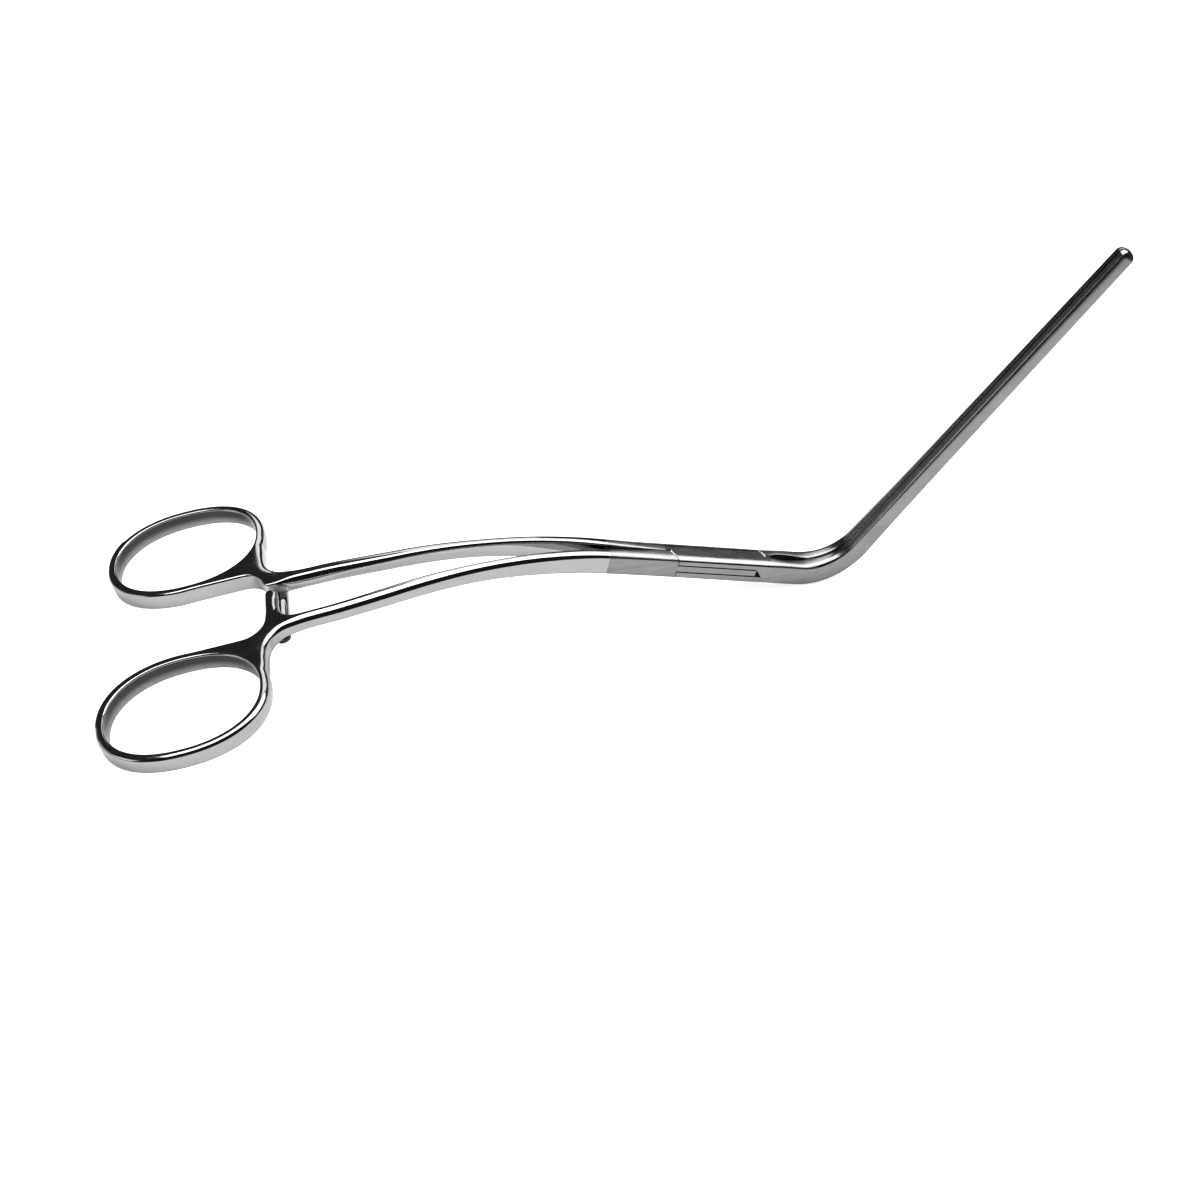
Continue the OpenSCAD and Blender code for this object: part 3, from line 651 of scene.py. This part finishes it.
def lower_arm():
    """Lower ratchet arm on the +y half's handle plane, reaching under the other shank, with its teeth up.

    Its end is a half round, the right half of its top is a quarter of an oval, and the teeth stand on the left half.
    """
    r = (LOWER_X1 - LOWER_X0) / 2
    mid = (LOWER_X0 + LOWER_X1) / 2
    rack = 4 * RACK_PITCH
    tip = -LOWER_REACH + r * (1 - np.cos(np.radians(np.linspace(8, 90, 12))))
    y = np.unique(np.round(np.r_[tip, np.linspace(-LOWER_REACH + r, -1.6, 12), np.arange(-1.5, -1.5 + rack, 0.05), np.linspace(4.6, 8.6, 14)], 4))
    over = np.maximum(r * r - np.minimum(y + LOWER_REACH - r, 0) ** 2, 0.01)
    w = np.sqrt(over)
    high = LOWER_TOP - (r - w) * 0.35
    top = np.minimum(LOWER_TOP - RACK_TOOTH + saw(y, -1.5, RACK_PITCH, RACK_TOOTH, 4), high - 0.02)
    a = np.radians(np.linspace(0, 90, 7))
    down, up = a[::-1], a
    b = np.minimum(0.5, w * 0.5)[:, None]
    low = np.full((len(y), 1), LOWER_BOTTOM) + (r - w)[:, None] * 0.25
    r_top, deep = (w * 0.85)[:, None], np.minimum(1.2, w * 0.65)[:, None]
    half = w[:, None]
    right_x = np.hstack([half - b * (1 - np.cos(down)), half - r_top * (1 - np.cos(up))])
    right_z = np.hstack([low + b * (1 - np.sin(down)), high[:, None] - deep * (1 - np.sin(up))])
    left_x = np.hstack([half - 0.1 * (1 - np.cos(down)), half - b * (1 - np.cos(up))])
    left_z = np.hstack([top[:, None] - 0.1 * (1 - np.sin(down)), low + b * (1 - np.sin(up))])
    ledge = (half - r_top) * 0.7
    x = np.hstack([right_x, ledge, ledge - 0.05, -left_x]) + mid
    z = np.hstack([right_z, high[:, None], top[:, None], left_z])
    points = on_path(RING_S + x.ravel(), np.repeat(y, x.shape[1]), z.ravel())
    points, faces = loft(points.reshape(len(y), -1, 3))
    middle = np.array([points[f][:, 1].mean() for f in faces])
    column = np.array([min(i % x.shape[1] for i in f) for f in faces])
    # The tip and the strip of teeth take the near-black steel of slot 5: painted shade under the other shank and
    # between the teeth.
    return points, faces, np.where((middle < -6.5) | (column >= right_x.shape[1]) & (column < right_x.shape[1] + 9), 5, 0)


def rack_teeth():
    """Teeth under the upper arm: a saw-toothed strip whose top is buried in the arm."""
    y = np.arange(-ARM_REACH + 1.2, -ARM_REACH + 1.2 + 4 * RACK_PITCH + 0.01, 0.05)
    low = ARM_LOW - saw(y, -ARM_REACH + 1.2, RACK_PITCH, RACK_TOOTH, 4)
    x = np.array([ARM_X0 + 0.3, ARM_X1 - 0.3, ARM_X1 - 0.3, ARM_X0 + 0.3])
    z = np.stack([low, low, np.full(len(y), 0.1), np.full(len(y), 0.1)], axis=1)
    points = on_path(np.tile(RING_S + x, len(y)), np.repeat(y, 4), z.ravel())
    return (*loft(points.reshape(len(y), 4, 3)), 0)


# Shader groups

def group(name, inputs, outputs):
    """A new shader group with named sockets; inputs are (name, kind, default)."""
    g = bpy.data.node_groups.new(name, "ShaderNodeTree")
    for label, kind, default in inputs:
        s = g.interface.new_socket(label, in_out="INPUT", socket_type=kind)
        if default is not None:
            s.default_value = default
    for label, kind in outputs:
        g.interface.new_socket(label, in_out="OUTPUT", socket_type=kind)
    return g, g.nodes.new("NodeGroupInput"), g.nodes.new("NodeGroupOutput")


def node(tree, kind, links=None, **values):
    """A node of a tree, with its properties set and its inputs linked by name or number."""
    n = tree.nodes.new(kind)
    for key, value in values.items():
        setattr(n, key, value)
    for key, value in (links or {}).items():
        if isinstance(value, bpy.types.NodeSocket):
            tree.links.new(value, n.inputs[key])
        else:
            n.inputs[key].default_value = value
    return n


def grain_group():
    """Fine grain of worked steel: noise stretched along x, as a factor for roughness and a height for bump."""
    g, gin, gout = group("Steel Grain", [
        ("Vector", "NodeSocketVector", None), ("Scale", "NodeSocketFloat", 900.0), ("Stretch", "NodeSocketFloat", 0.1),
    ], [("Factor", "NodeSocketFloat"), ("Height", "NodeSocketFloat")])
    comb = node(g, "ShaderNodeCombineXYZ", {"X": gin.outputs["Stretch"], "Y": 1.0, "Z": 1.0})
    mul = node(g, "ShaderNodeVectorMath", {0: gin.outputs["Vector"], 1: comb.outputs[0]}, operation="MULTIPLY")
    fine = node(g, "ShaderNodeTexNoise", {"Vector": mul.outputs[0], "Scale": gin.outputs["Scale"], "Detail": 4.0, "Roughness": 0.6})
    broad = node(g, "ShaderNodeTexNoise", {"Vector": gin.outputs["Vector"], "Scale": 160.0, "Detail": 5.0, "Roughness": 0.6})
    both = node(g, "ShaderNodeMath", {0: fine.outputs["Fac"], 1: broad.outputs["Fac"]}, operation="ADD")
    half = node(g, "ShaderNodeMath", {0: both.outputs[0], 1: 0.5}, operation="MULTIPLY")
    g.links.new(half.outputs[0], gout.inputs["Factor"])
    g.links.new(fine.outputs["Fac"], gout.inputs["Height"])
    return g


def scuff_group():
    """Handling marks: sparse short scratches and dull specks, as a mask from 0 to 1."""
    g, gin, gout = group("Handling Marks", [
        ("Vector", "NodeSocketVector", None), ("Amount", "NodeSocketFloat", 0.5),
    ], [("Mask", "NodeSocketFloat")])
    warp = node(g, "ShaderNodeTexNoise", {"Vector": gin.outputs["Vector"], "Scale": 220.0, "Detail": 2.0})
    shift = node(g, "ShaderNodeVectorMath", {0: warp.outputs["Color"], 1: (0.004, 0.004, 0.004)}, operation="MULTIPLY")
    moved = node(g, "ShaderNodeVectorMath", {0: gin.outputs["Vector"], 1: shift.outputs[0]}, operation="ADD")
    lines = node(g, "ShaderNodeTexNoise", {"Vector": moved.outputs[0], "Scale": 700.0, "Detail": 6.0, "Roughness": 0.7})
    sparse = node(g, "ShaderNodeTexNoise", {"Vector": gin.outputs["Vector"], "Scale": 60.0, "Detail": 3.0})
    a = node(g, "ShaderNodeMapRange", {"Value": lines.outputs["Fac"], "From Min": 0.6, "From Max": 0.72})
    b = node(g, "ShaderNodeMapRange", {"Value": sparse.outputs["Fac"], "From Min": 0.52, "From Max": 0.7})
    both = node(g, "ShaderNodeMath", {0: a.outputs[0], 1: b.outputs[0]}, operation="MULTIPLY")
    out = node(g, "ShaderNodeMath", {0: both.outputs[0], 1: gin.outputs["Amount"]}, operation="MULTIPLY", use_clamp=True)
    g.links.new(out.outputs[0], gout.inputs["Mask"])
    return g


def steel(name, colour, dull, rough_low, rough_high, bump, scale, stretch, marks):
    """A steel: colour and roughness between two values by the grain, lifted where handling marks lie."""
    m = bpy.data.materials.new(name)
    m.use_nodes = True
    t = m.node_tree
    bsdf = t.nodes["Principled BSDF"]
    bsdf.inputs["Metallic"].default_value = 1.0
    where = node(t, "ShaderNodeTexCoord")
    grain = node(t, "ShaderNodeGroup", node_tree=GROUPS["grain"])
    t.links.new(where.outputs["Object"], grain.inputs["Vector"])
    grain.inputs["Scale"].default_value = scale
    grain.inputs["Stretch"].default_value = stretch
    mark = node(t, "ShaderNodeGroup", node_tree=GROUPS["scuff"])
    t.links.new(where.outputs["Object"], mark.inputs["Vector"])
    mark.inputs["Amount"].default_value = marks
    tone = node(t, "ShaderNodeMapRange", {"Value": grain.outputs["Factor"], "From Min": 0.35, "From Max": 0.65, "To Min": 0.0, "To Max": 1.0})
    mix = node(t, "ShaderNodeMix", {"Factor": tone.outputs[0]}, data_type="RGBA")
    mix.inputs[6].default_value = (*dull, 1)
    mix.inputs[7].default_value = (*colour, 1)
    rough = node(t, "ShaderNodeMapRange", {"Value": grain.outputs["Factor"], "From Min": 0.35, "From Max": 0.65, "To Min": rough_low, "To Max": rough_high})
    worn = node(t, "ShaderNodeMath", {0: mark.outputs["Mask"], 1: 0.25, 2: rough.outputs[0]}, operation="MULTIPLY_ADD")
    b = node(t, "ShaderNodeBump", {"Strength": bump, "Distance": 0.00002, "Height": grain.outputs["Height"]})
    t.links.new(mix.outputs[2], bsdf.inputs["Base Color"])
    t.links.new(worn.outputs[0], bsdf.inputs["Roughness"])
    t.links.new(b.outputs[0], bsdf.inputs["Normal"])
    return m


GROUPS = {}
STEELS = {}


def finishes(tones):
    """The six steels of the clamp, made once: mirror polish, satin, brushed ring walls with painted shade towards their
    upper edge, bright ground edges that paint highlights on the seams and a reflection on the far web, coarse satin,
    and a near-black steel that paints shade on the lower ratchet arm.
    """
    if not STEELS:
        GROUPS["grain"] = grain_group()
        GROUPS["scuff"] = scuff_group()
        p, s, w, e = tones.polished, tones.satin, tones.walls, tones.edges
        STEELS["polished"] = steel("polished_steel", p, [c * 0.92 for c in p], 0.05, 0.10, 0.05, 500.0, 0.15, 0.5)
        STEELS["satin"] = steel("satin_steel", s, [c * 0.78 for c in s], 0.17, 0.26, 0.25, 900.0, 0.12, 0.35)
        # Brushed ring walls: real grain, with painted shade added by shade_walls towards their upper edge.
        STEELS["walls"] = steel("brushed_walls_painted_shade", w, [c * 0.7 for c in w], 0.15, 0.28, 0.2, 700.0, 0.3, 0.4)
        # Bright rough steel: worn seam edges with a painted highlight, and a painted reflection on a facet of the far
        # web.
        STEELS["edges"] = steel("ground_edges_painted_highlight", e, [c * 0.9 for c in e], 0.45, 0.55, 0.1, 700.0, 0.3, 0.0)
        STEELS["coarse"] = steel("coarse_satin_steel", s, [c * 0.7 for c in s], 0.24, 0.33, 0.35, 900.0, 0.06, 0.3)
        # Near-black steel that paints shade on the lower ratchet arm's tip and teeth.
        STEELS["shaded"] = steel("painted_shade_steel", (0.05, 0.05, 0.05), (0.03, 0.03, 0.03), 0.1, 0.2, 0.05, 700.0, 0.3, 0.0)
        shade_walls(STEELS["walls"])
    return [STEELS[name] for name in ("polished", "satin", "walls", "edges", "coarse", "shaded")]


def shade_walls(material):
    """Paints shade on the ring walls: their colour darkens towards the upper edge, by the height over the handle's
    plane.
    """
    t = material.node_tree
    bsdf = t.nodes["Principled BSDF"]
    colour = bsdf.inputs["Base Color"].links[0].from_socket
    tilt = SHANK_ANGLE - TILT
    where = node(t, "ShaderNodeTexCoord")
    height = node(t, "ShaderNodeVectorMath", {0: where.outputs["Object"], 1: (-math.sin(tilt), 0.0, math.cos(tilt))}, operation="DOT_PRODUCT")
    ring = rest_frame(on_path(np.array([RING_S]), np.array([0.0]), np.array([0.0])))[0]
    zero = -math.sin(tilt) * ring[0] + math.cos(tilt) * ring[2]
    # Share of the colour kept, 1 at the walls' lower edge down to 0.16 at the upper: the painted shade.
    share = node(t, "ShaderNodeMapRange", {
        "Value": height.outputs["Value"], "From Min": zero - 2.2 * MM, "From Max": zero + 0.2 * MM, "To Min": 1.0, "To Max": 0.16,
    }, interpolation_type="SMOOTHSTEP")
    scaled = node(t, "ShaderNodeVectorMath", {0: colour, "Scale": share.outputs[0]}, operation="SCALE")
    t.links.new(scaled.outputs[0], bsdf.inputs["Base Color"])


# Add-on

class ClampShape(bpy.types.PropertyGroup):
    step: bpy.props.FloatProperty(name="Outline Step", description="Spacing of points along the handle's outline, in mm", default=0.35, min=0.15, max=2.0)


class ClampFinish(bpy.types.PropertyGroup):
    polished: bpy.props.FloatVectorProperty(name="Polished Steel", description="Colour of the mirror-polished handle", subtype="COLOR", default=(0.45, 0.455, 0.455))
    satin: bpy.props.FloatVectorProperty(name="Satin Steel", description="Colour of the satin box and jaws", subtype="COLOR", default=(0.315, 0.318, 0.313))
    # Colour at the walls' lower edge; painted shade darkens it towards the upper edge.
    walls: bpy.props.FloatVectorProperty(name="Ring Walls", description="Colour of the brushed walls inside the finger rings", subtype="COLOR", default=(0.36, 0.362, 0.355))
    # Colour that paints the highlight on the worn seam edges and the reflection on the far web's facet.
    edges: bpy.props.FloatVectorProperty(name="Ground Edges", description="Colour of the ground edges along the seams", subtype="COLOR", default=(0.85, 0.85, 0.84))


class ClampStudio(bpy.types.PropertyGroup):
    lamp: bpy.props.FloatProperty(name="Lamp Level", description="Strength of the overhead panel", default=1.0, min=0.0, max=10.0)


class CLAMP_OT_box_half(bpy.types.Operator):
    """Makes the forging that carries the box, with its ring, shank, lower ratchet arm and jaw"""
    bl_idname = "clamp.box_half"
    bl_label = "Box Half"

    def execute(self, context):
        mats = finishes(context.scene.clamp_finish)
        step = context.scene.clamp_shape.step
        shells = [handle(step, False), lower_arm(), *box_shells(), mirrored(jaw_shell(True))]
        build("box_half_forging", shells, "box_body", "box_half", mats)
        return {"FINISHED"}


class CLAMP_OT_insert_half(bpy.types.Operator):
    """Makes the forging that passes through the box, with its ring, shank, upper ratchet arm, web and jaw"""
    bl_idname = "clamp.insert_half"
    bl_label = "Insert Half"

    def execute(self, context):
        mats = finishes(context.scene.clamp_finish)
        step = context.scene.clamp_shape.step
        rear = rounded_stack(shoulder_plan, -HALF_H, HALF_H, True, True)
        rear[2][rear[2] == 1] = 4
        shells = [mirrored(handle(step, True)), mirrored(rack_teeth()), rear, turned(rear), web_shell(), jaw_shell(False)]
        build("insert_half_forging", shells, "insert_body", "insert_half", mats)
        return {"FINISHED"}


class CLAMP_OT_rivet(bpy.types.Operator):
    """Gives the rivet the satin finish of the box"""
    bl_idname = "clamp.rivet"
    bl_label = "Rivet"

    def execute(self, context):
        mats = finishes(context.scene.clamp_finish)
        pin = frame["nodes"]["pivot_pin"]
        pin.data.materials.clear()
        pin.data.materials.append(mats[1])
        return {"FINISHED"}


class CLAMP_OT_stage(bpy.types.Operator):
    """Makes the floor, the light panels, the white surround and the camera"""
    bl_idname = "clamp.stage"
    bl_label = "Studio"

    def execute(self, context):
        make_floor()
        make_lights(context.scene.clamp_studio.lamp)
        make_world()
        make_camera(context.scene)
        context.scene.view_settings.view_transform = "Standard"
        return {"FINISHED"}


def make_floor():
    """White floor at z = 0: plain diffuse, and plain white to the camera where it isn't shaded."""
    n = 2
    x, y = np.meshgrid(np.linspace(-6, 6, n), np.linspace(-6, 6, n))
    v = np.stack([x.ravel(), y.ravel(), np.full(n * n, -0.0002)], axis=-1)
    mesh = bpy.data.meshes.new("floor")
    mesh.from_pydata(v.tolist(), [], [[0, 1, 3, 2]])
    m = bpy.data.materials.new("floor_white")
    m.use_nodes = True
    t = m.node_tree
    bsdf = t.nodes["Principled BSDF"]
    bsdf.inputs["Roughness"].default_value = 1.0
    bsdf.inputs["Specular IOR Level"].default_value = 0.0
    where = node(t, "ShaderNodeTexCoord")
    away = node(t, "ShaderNodeVectorMath", {0: where.outputs["Object"], 1: (0.02, -0.02, 0.0)}, operation="DISTANCE")
    fall = node(t, "ShaderNodeMapRange", {"Value": away.outputs["Value"], "From Min": 0.12, "From Max": 0.5}, interpolation_type="SMOOTHSTEP")
    tone = node(t, "ShaderNodeMix", {"Factor": fall.outputs[0]}, data_type="RGBA")
    tone.inputs[6].default_value = (0.9, 0.9, 0.9, 1)
    tone.inputs[7].default_value = (0.12, 0.12, 0.12, 1)
    t.links.new(tone.outputs[2], bsdf.inputs["Base Color"])
    light = node(t, "ShaderNodeLightPath")
    glow = node(t, "ShaderNodeEmission", {"Color": (1, 1, 1, 1)})
    lift = node(t, "ShaderNodeMapRange", {"Value": fall.outputs[0], "To Min": 0.74, "To Max": 1.2})
    level = node(t, "ShaderNodeMath", {0: light.outputs["Is Camera Ray"], 1: lift.outputs[0]}, operation="MULTIPLY")
    t.links.new(level.outputs[0], glow.inputs["Strength"])
    add = node(t, "ShaderNodeAddShader", {0: bsdf.outputs[0], 1: glow.outputs[0]})
    t.links.new(add.outputs[0], t.nodes["Material Output"].inputs["Surface"])
    mesh.materials.append(m)
    floor = bpy.data.objects.new("floor", mesh)
    bpy.context.scene.collection.objects.link(floor)


def panel(name, place, target, size_x, size_y, power, colour=(1, 1, 1)):
    """A soft rectangular lamp at place, facing target."""
    data = bpy.data.lights.new(name, "AREA")
    data.shape = "RECTANGLE"
    data.size, data.size_y = size_x, size_y
    data.energy = power
    data.color = colour
    obj = bpy.data.objects.new(name, data)
    obj.location = place
    obj.rotation_euler = (Vector(place) - Vector(target)).to_track_quat("Z", "Y").to_euler()
    bpy.context.scene.collection.objects.link(obj)
    return obj


PANEL_H = 1.6
PANEL_LEFT, PANEL_RIGHT, PANEL_FRONT, PANEL_BACK = -1.0, 1.9, -0.23, 1.34
ROOM = 2.5


def wall(name, corners, grey):
    """A wall through four corners that only reflections see, of an even grey."""
    mesh = bpy.data.meshes.new(name)
    mesh.from_pydata(corners, [], [(0, 1, 2, 3)])
    m = bpy.data.materials.new(name)
    m.use_nodes = True
    t = m.node_tree
    t.nodes.remove(t.nodes["Principled BSDF"])
    glow = node(t, "ShaderNodeEmission", {"Color": (grey, grey, grey, 1), "Strength": 1.0})
    t.links.new(glow.outputs[0], t.nodes["Material Output"].inputs["Surface"])
    mesh.materials.append(m)
    obj = bpy.data.objects.new(name, mesh)
    bpy.context.scene.collection.objects.link(obj)
    obj.visible_camera = False
    obj.visible_diffuse = False
    obj.visible_shadow = False
    return obj


def make_lights(level):
    """Overhead panel, the dim room round it as four sloping walls, and a lit opening in the wall behind."""
    width, depth = PANEL_RIGHT - PANEL_LEFT, PANEL_BACK - PANEL_FRONT
    place = ((PANEL_LEFT + PANEL_RIGHT) / 2, (PANEL_BACK + PANEL_FRONT) / 2, PANEL_H)
    power = 3.1 * math.pi * width * depth * level
    top = panel("overhead_panel", place, (place[0], place[1], 0.0), width, depth, power)
    top.visible_camera = False
    h, x0, x1, y0, y1, far = PANEL_H + 0.001, PANEL_LEFT, PANEL_RIGHT, PANEL_FRONT, PANEL_BACK, ROOM
    wall("back_wall", [(x0, y1, h), (x1, y1, h), (far, far, 0), (-far, far, 0)], 0.03)
    wall("front_wall", [(x1, y0, h), (x0, y0, h), (-far, -far, 0), (far, -far, 0)], 0.015)
    wall("left_wall", [(x0, y0, h), (x0, y1, h), (-far, far, 0), (-far, -far, 0)], 0.03)
    wall("right_wall", [(x1, y1, h), (x1, y0, h), (far, -far, 0), (far, far, 0)], 0.05)
    wall("back_opening", [(-0.42, y1, 1.50), (0.30, y1, 1.50), (0.30, y1, 0.85), (-0.42, y1, 0.85)], 1.7)
    wall("back_opening_right", [(0.30, y1, 1.50), (0.80, y1, 1.50), (0.80, y1, 1.08), (0.30, y1, 1.08)], 1.7)
    wall("back_grey", [(0.72, y1, 1.0), (1.25, y1, 1.0), (1.25, y1, 0.6), (0.72, y1, 0.6)], 0.16)
    wall("left_grey", [(-1.35, y1, 0.58), (-0.84, y1, 0.58), (-0.84, y1, 0.04), (-1.35, y1, 0.04)], 0.18)
    wall("left_grey_side", [(-1.3, 1.33, 0.8), (-1.3, -0.1, 0.8), (-1.3, -0.1, 0.04), (-1.3, 1.33, 0.04)], 0.15)
    wall("left_low_opening", [(-1.2, 0.62, 0.36), (-1.2, 0.06, 0.36), (-1.2, 0.06, 0.1), (-1.2, 0.62, 0.1)], 0.9)
    wall("left_opening", [(-1.2, 0.05, 0.75), (-1.2, -0.6, 0.75), (-1.2, -0.6, 0.15), (-1.2, 0.05, 0.15)], 1.3)


def make_world():
    """White to the camera and to reflections, and a soft grey light on everything else."""
    world = bpy.data.worlds.new("surround")
    bpy.context.scene.world = world
    world.use_nodes = True
    t = world.node_tree
    back = t.nodes["Background"]
    light = node(t, "ShaderNodeLightPath")
    seen = node(t, "ShaderNodeMath", {0: light.outputs["Is Camera Ray"], 1: light.outputs["Is Glossy Ray"]}, operation="MAXIMUM")
    seen = node(t, "ShaderNodeMath", {0: seen.outputs[0], 1: light.outputs["Is Transmission Ray"]}, operation="MAXIMUM")
    level = node(t, "ShaderNodeMapRange", {"Value": seen.outputs[0], "To Min": 0.5, "To Max": 1.0})
    back.inputs["Color"].default_value = (1, 1, 1, 1)
    t.links.new(level.outputs[0], back.inputs["Strength"])


def make_camera(scene):
    """Camera at the photograph's place, fitted on the rings, the shanks and the jaws."""
    data = bpy.data.cameras.new("camera")
    data.sensor_width = 36.0
    data.lens = 45.0
    data.clip_start = 0.01
    data.clip_end = 50.0
    cam = bpy.data.objects.new("camera", data)
    az, el, roll = math.radians(2.513), math.radians(42.248), math.radians(-12.32)
    f = np.array([math.sin(az) * math.cos(el), math.cos(az) * math.cos(el), -math.sin(el)])
    r = np.array([math.cos(az), -math.sin(az), 0.0])
    u = np.cross(r, f)
    right = r * math.cos(roll) + u * math.sin(roll)
    up = -r * math.sin(roll) + u * math.cos(roll)
    t = SHANK_ANGLE - TILT
    lay = np.array([[math.cos(t), 0, -math.sin(t)], [0, 1, 0], [math.sin(t), 0, math.cos(t)]])
    ring = rest_frame(on_path(np.array([RING_S]), np.array([0.0]), np.array([0.0])))[0]
    place = ring + lay @ np.array([84.208, -274.165, 225.961]) * MM
    right, up, back = lay @ right, lay @ up, -(lay @ f)
    m = Matrix(((right[0], up[0], back[0], place[0]), (right[1], up[1], back[1], place[1]), (right[2], up[2], back[2], place[2]), (0, 0, 0, 1)))
    cam.matrix_world = m
    scene.collection.objects.link(cam)
    scene.camera = cam


class CLAMP_PT_panel(bpy.types.Panel):
    """Lists the clamp's pieces and its studio"""
    bl_idname = "CLAMP_PT_panel"
    bl_label = "Aortic Clamp"
    bl_space_type = "VIEW_3D"
    bl_region_type = "UI"
    bl_category = "Clamp"

    def draw(self, context):
        column = self.layout.column()
        for group_name, names in (("clamp_shape", ["step"]), ("clamp_finish", ["polished", "satin", "walls", "edges"]), ("clamp_studio", ["lamp"])):
            for name in names:
                column.prop(getattr(context.scene, group_name), name)
        for name in ("clamp.box_half", "clamp.insert_half", "clamp.rivet", "clamp.stage"):
            column.operator(name)


CLASSES = (
    ClampShape, ClampFinish, ClampStudio,
    CLAMP_OT_box_half, CLAMP_OT_insert_half, CLAMP_OT_rivet, CLAMP_OT_stage,
    CLAMP_PT_panel,
)


def register():
    for cls in CLASSES:
        bpy.utils.register_class(cls)
    bpy.types.Scene.clamp_shape = bpy.props.PointerProperty(type=ClampShape)
    bpy.types.Scene.clamp_finish = bpy.props.PointerProperty(type=ClampFinish)
    bpy.types.Scene.clamp_studio = bpy.props.PointerProperty(type=ClampStudio)


def unregister():
    del bpy.types.Scene.clamp_shape, bpy.types.Scene.clamp_finish, bpy.types.Scene.clamp_studio
    for cls in reversed(CLASSES):
        bpy.utils.unregister_class(cls)


def main():
    register()
    bpy.ops.clamp.box_half()
    bpy.ops.clamp.insert_half()
    bpy.ops.clamp.rivet()
    bpy.ops.clamp.stage()


if __name__ == "__main__":
    main()
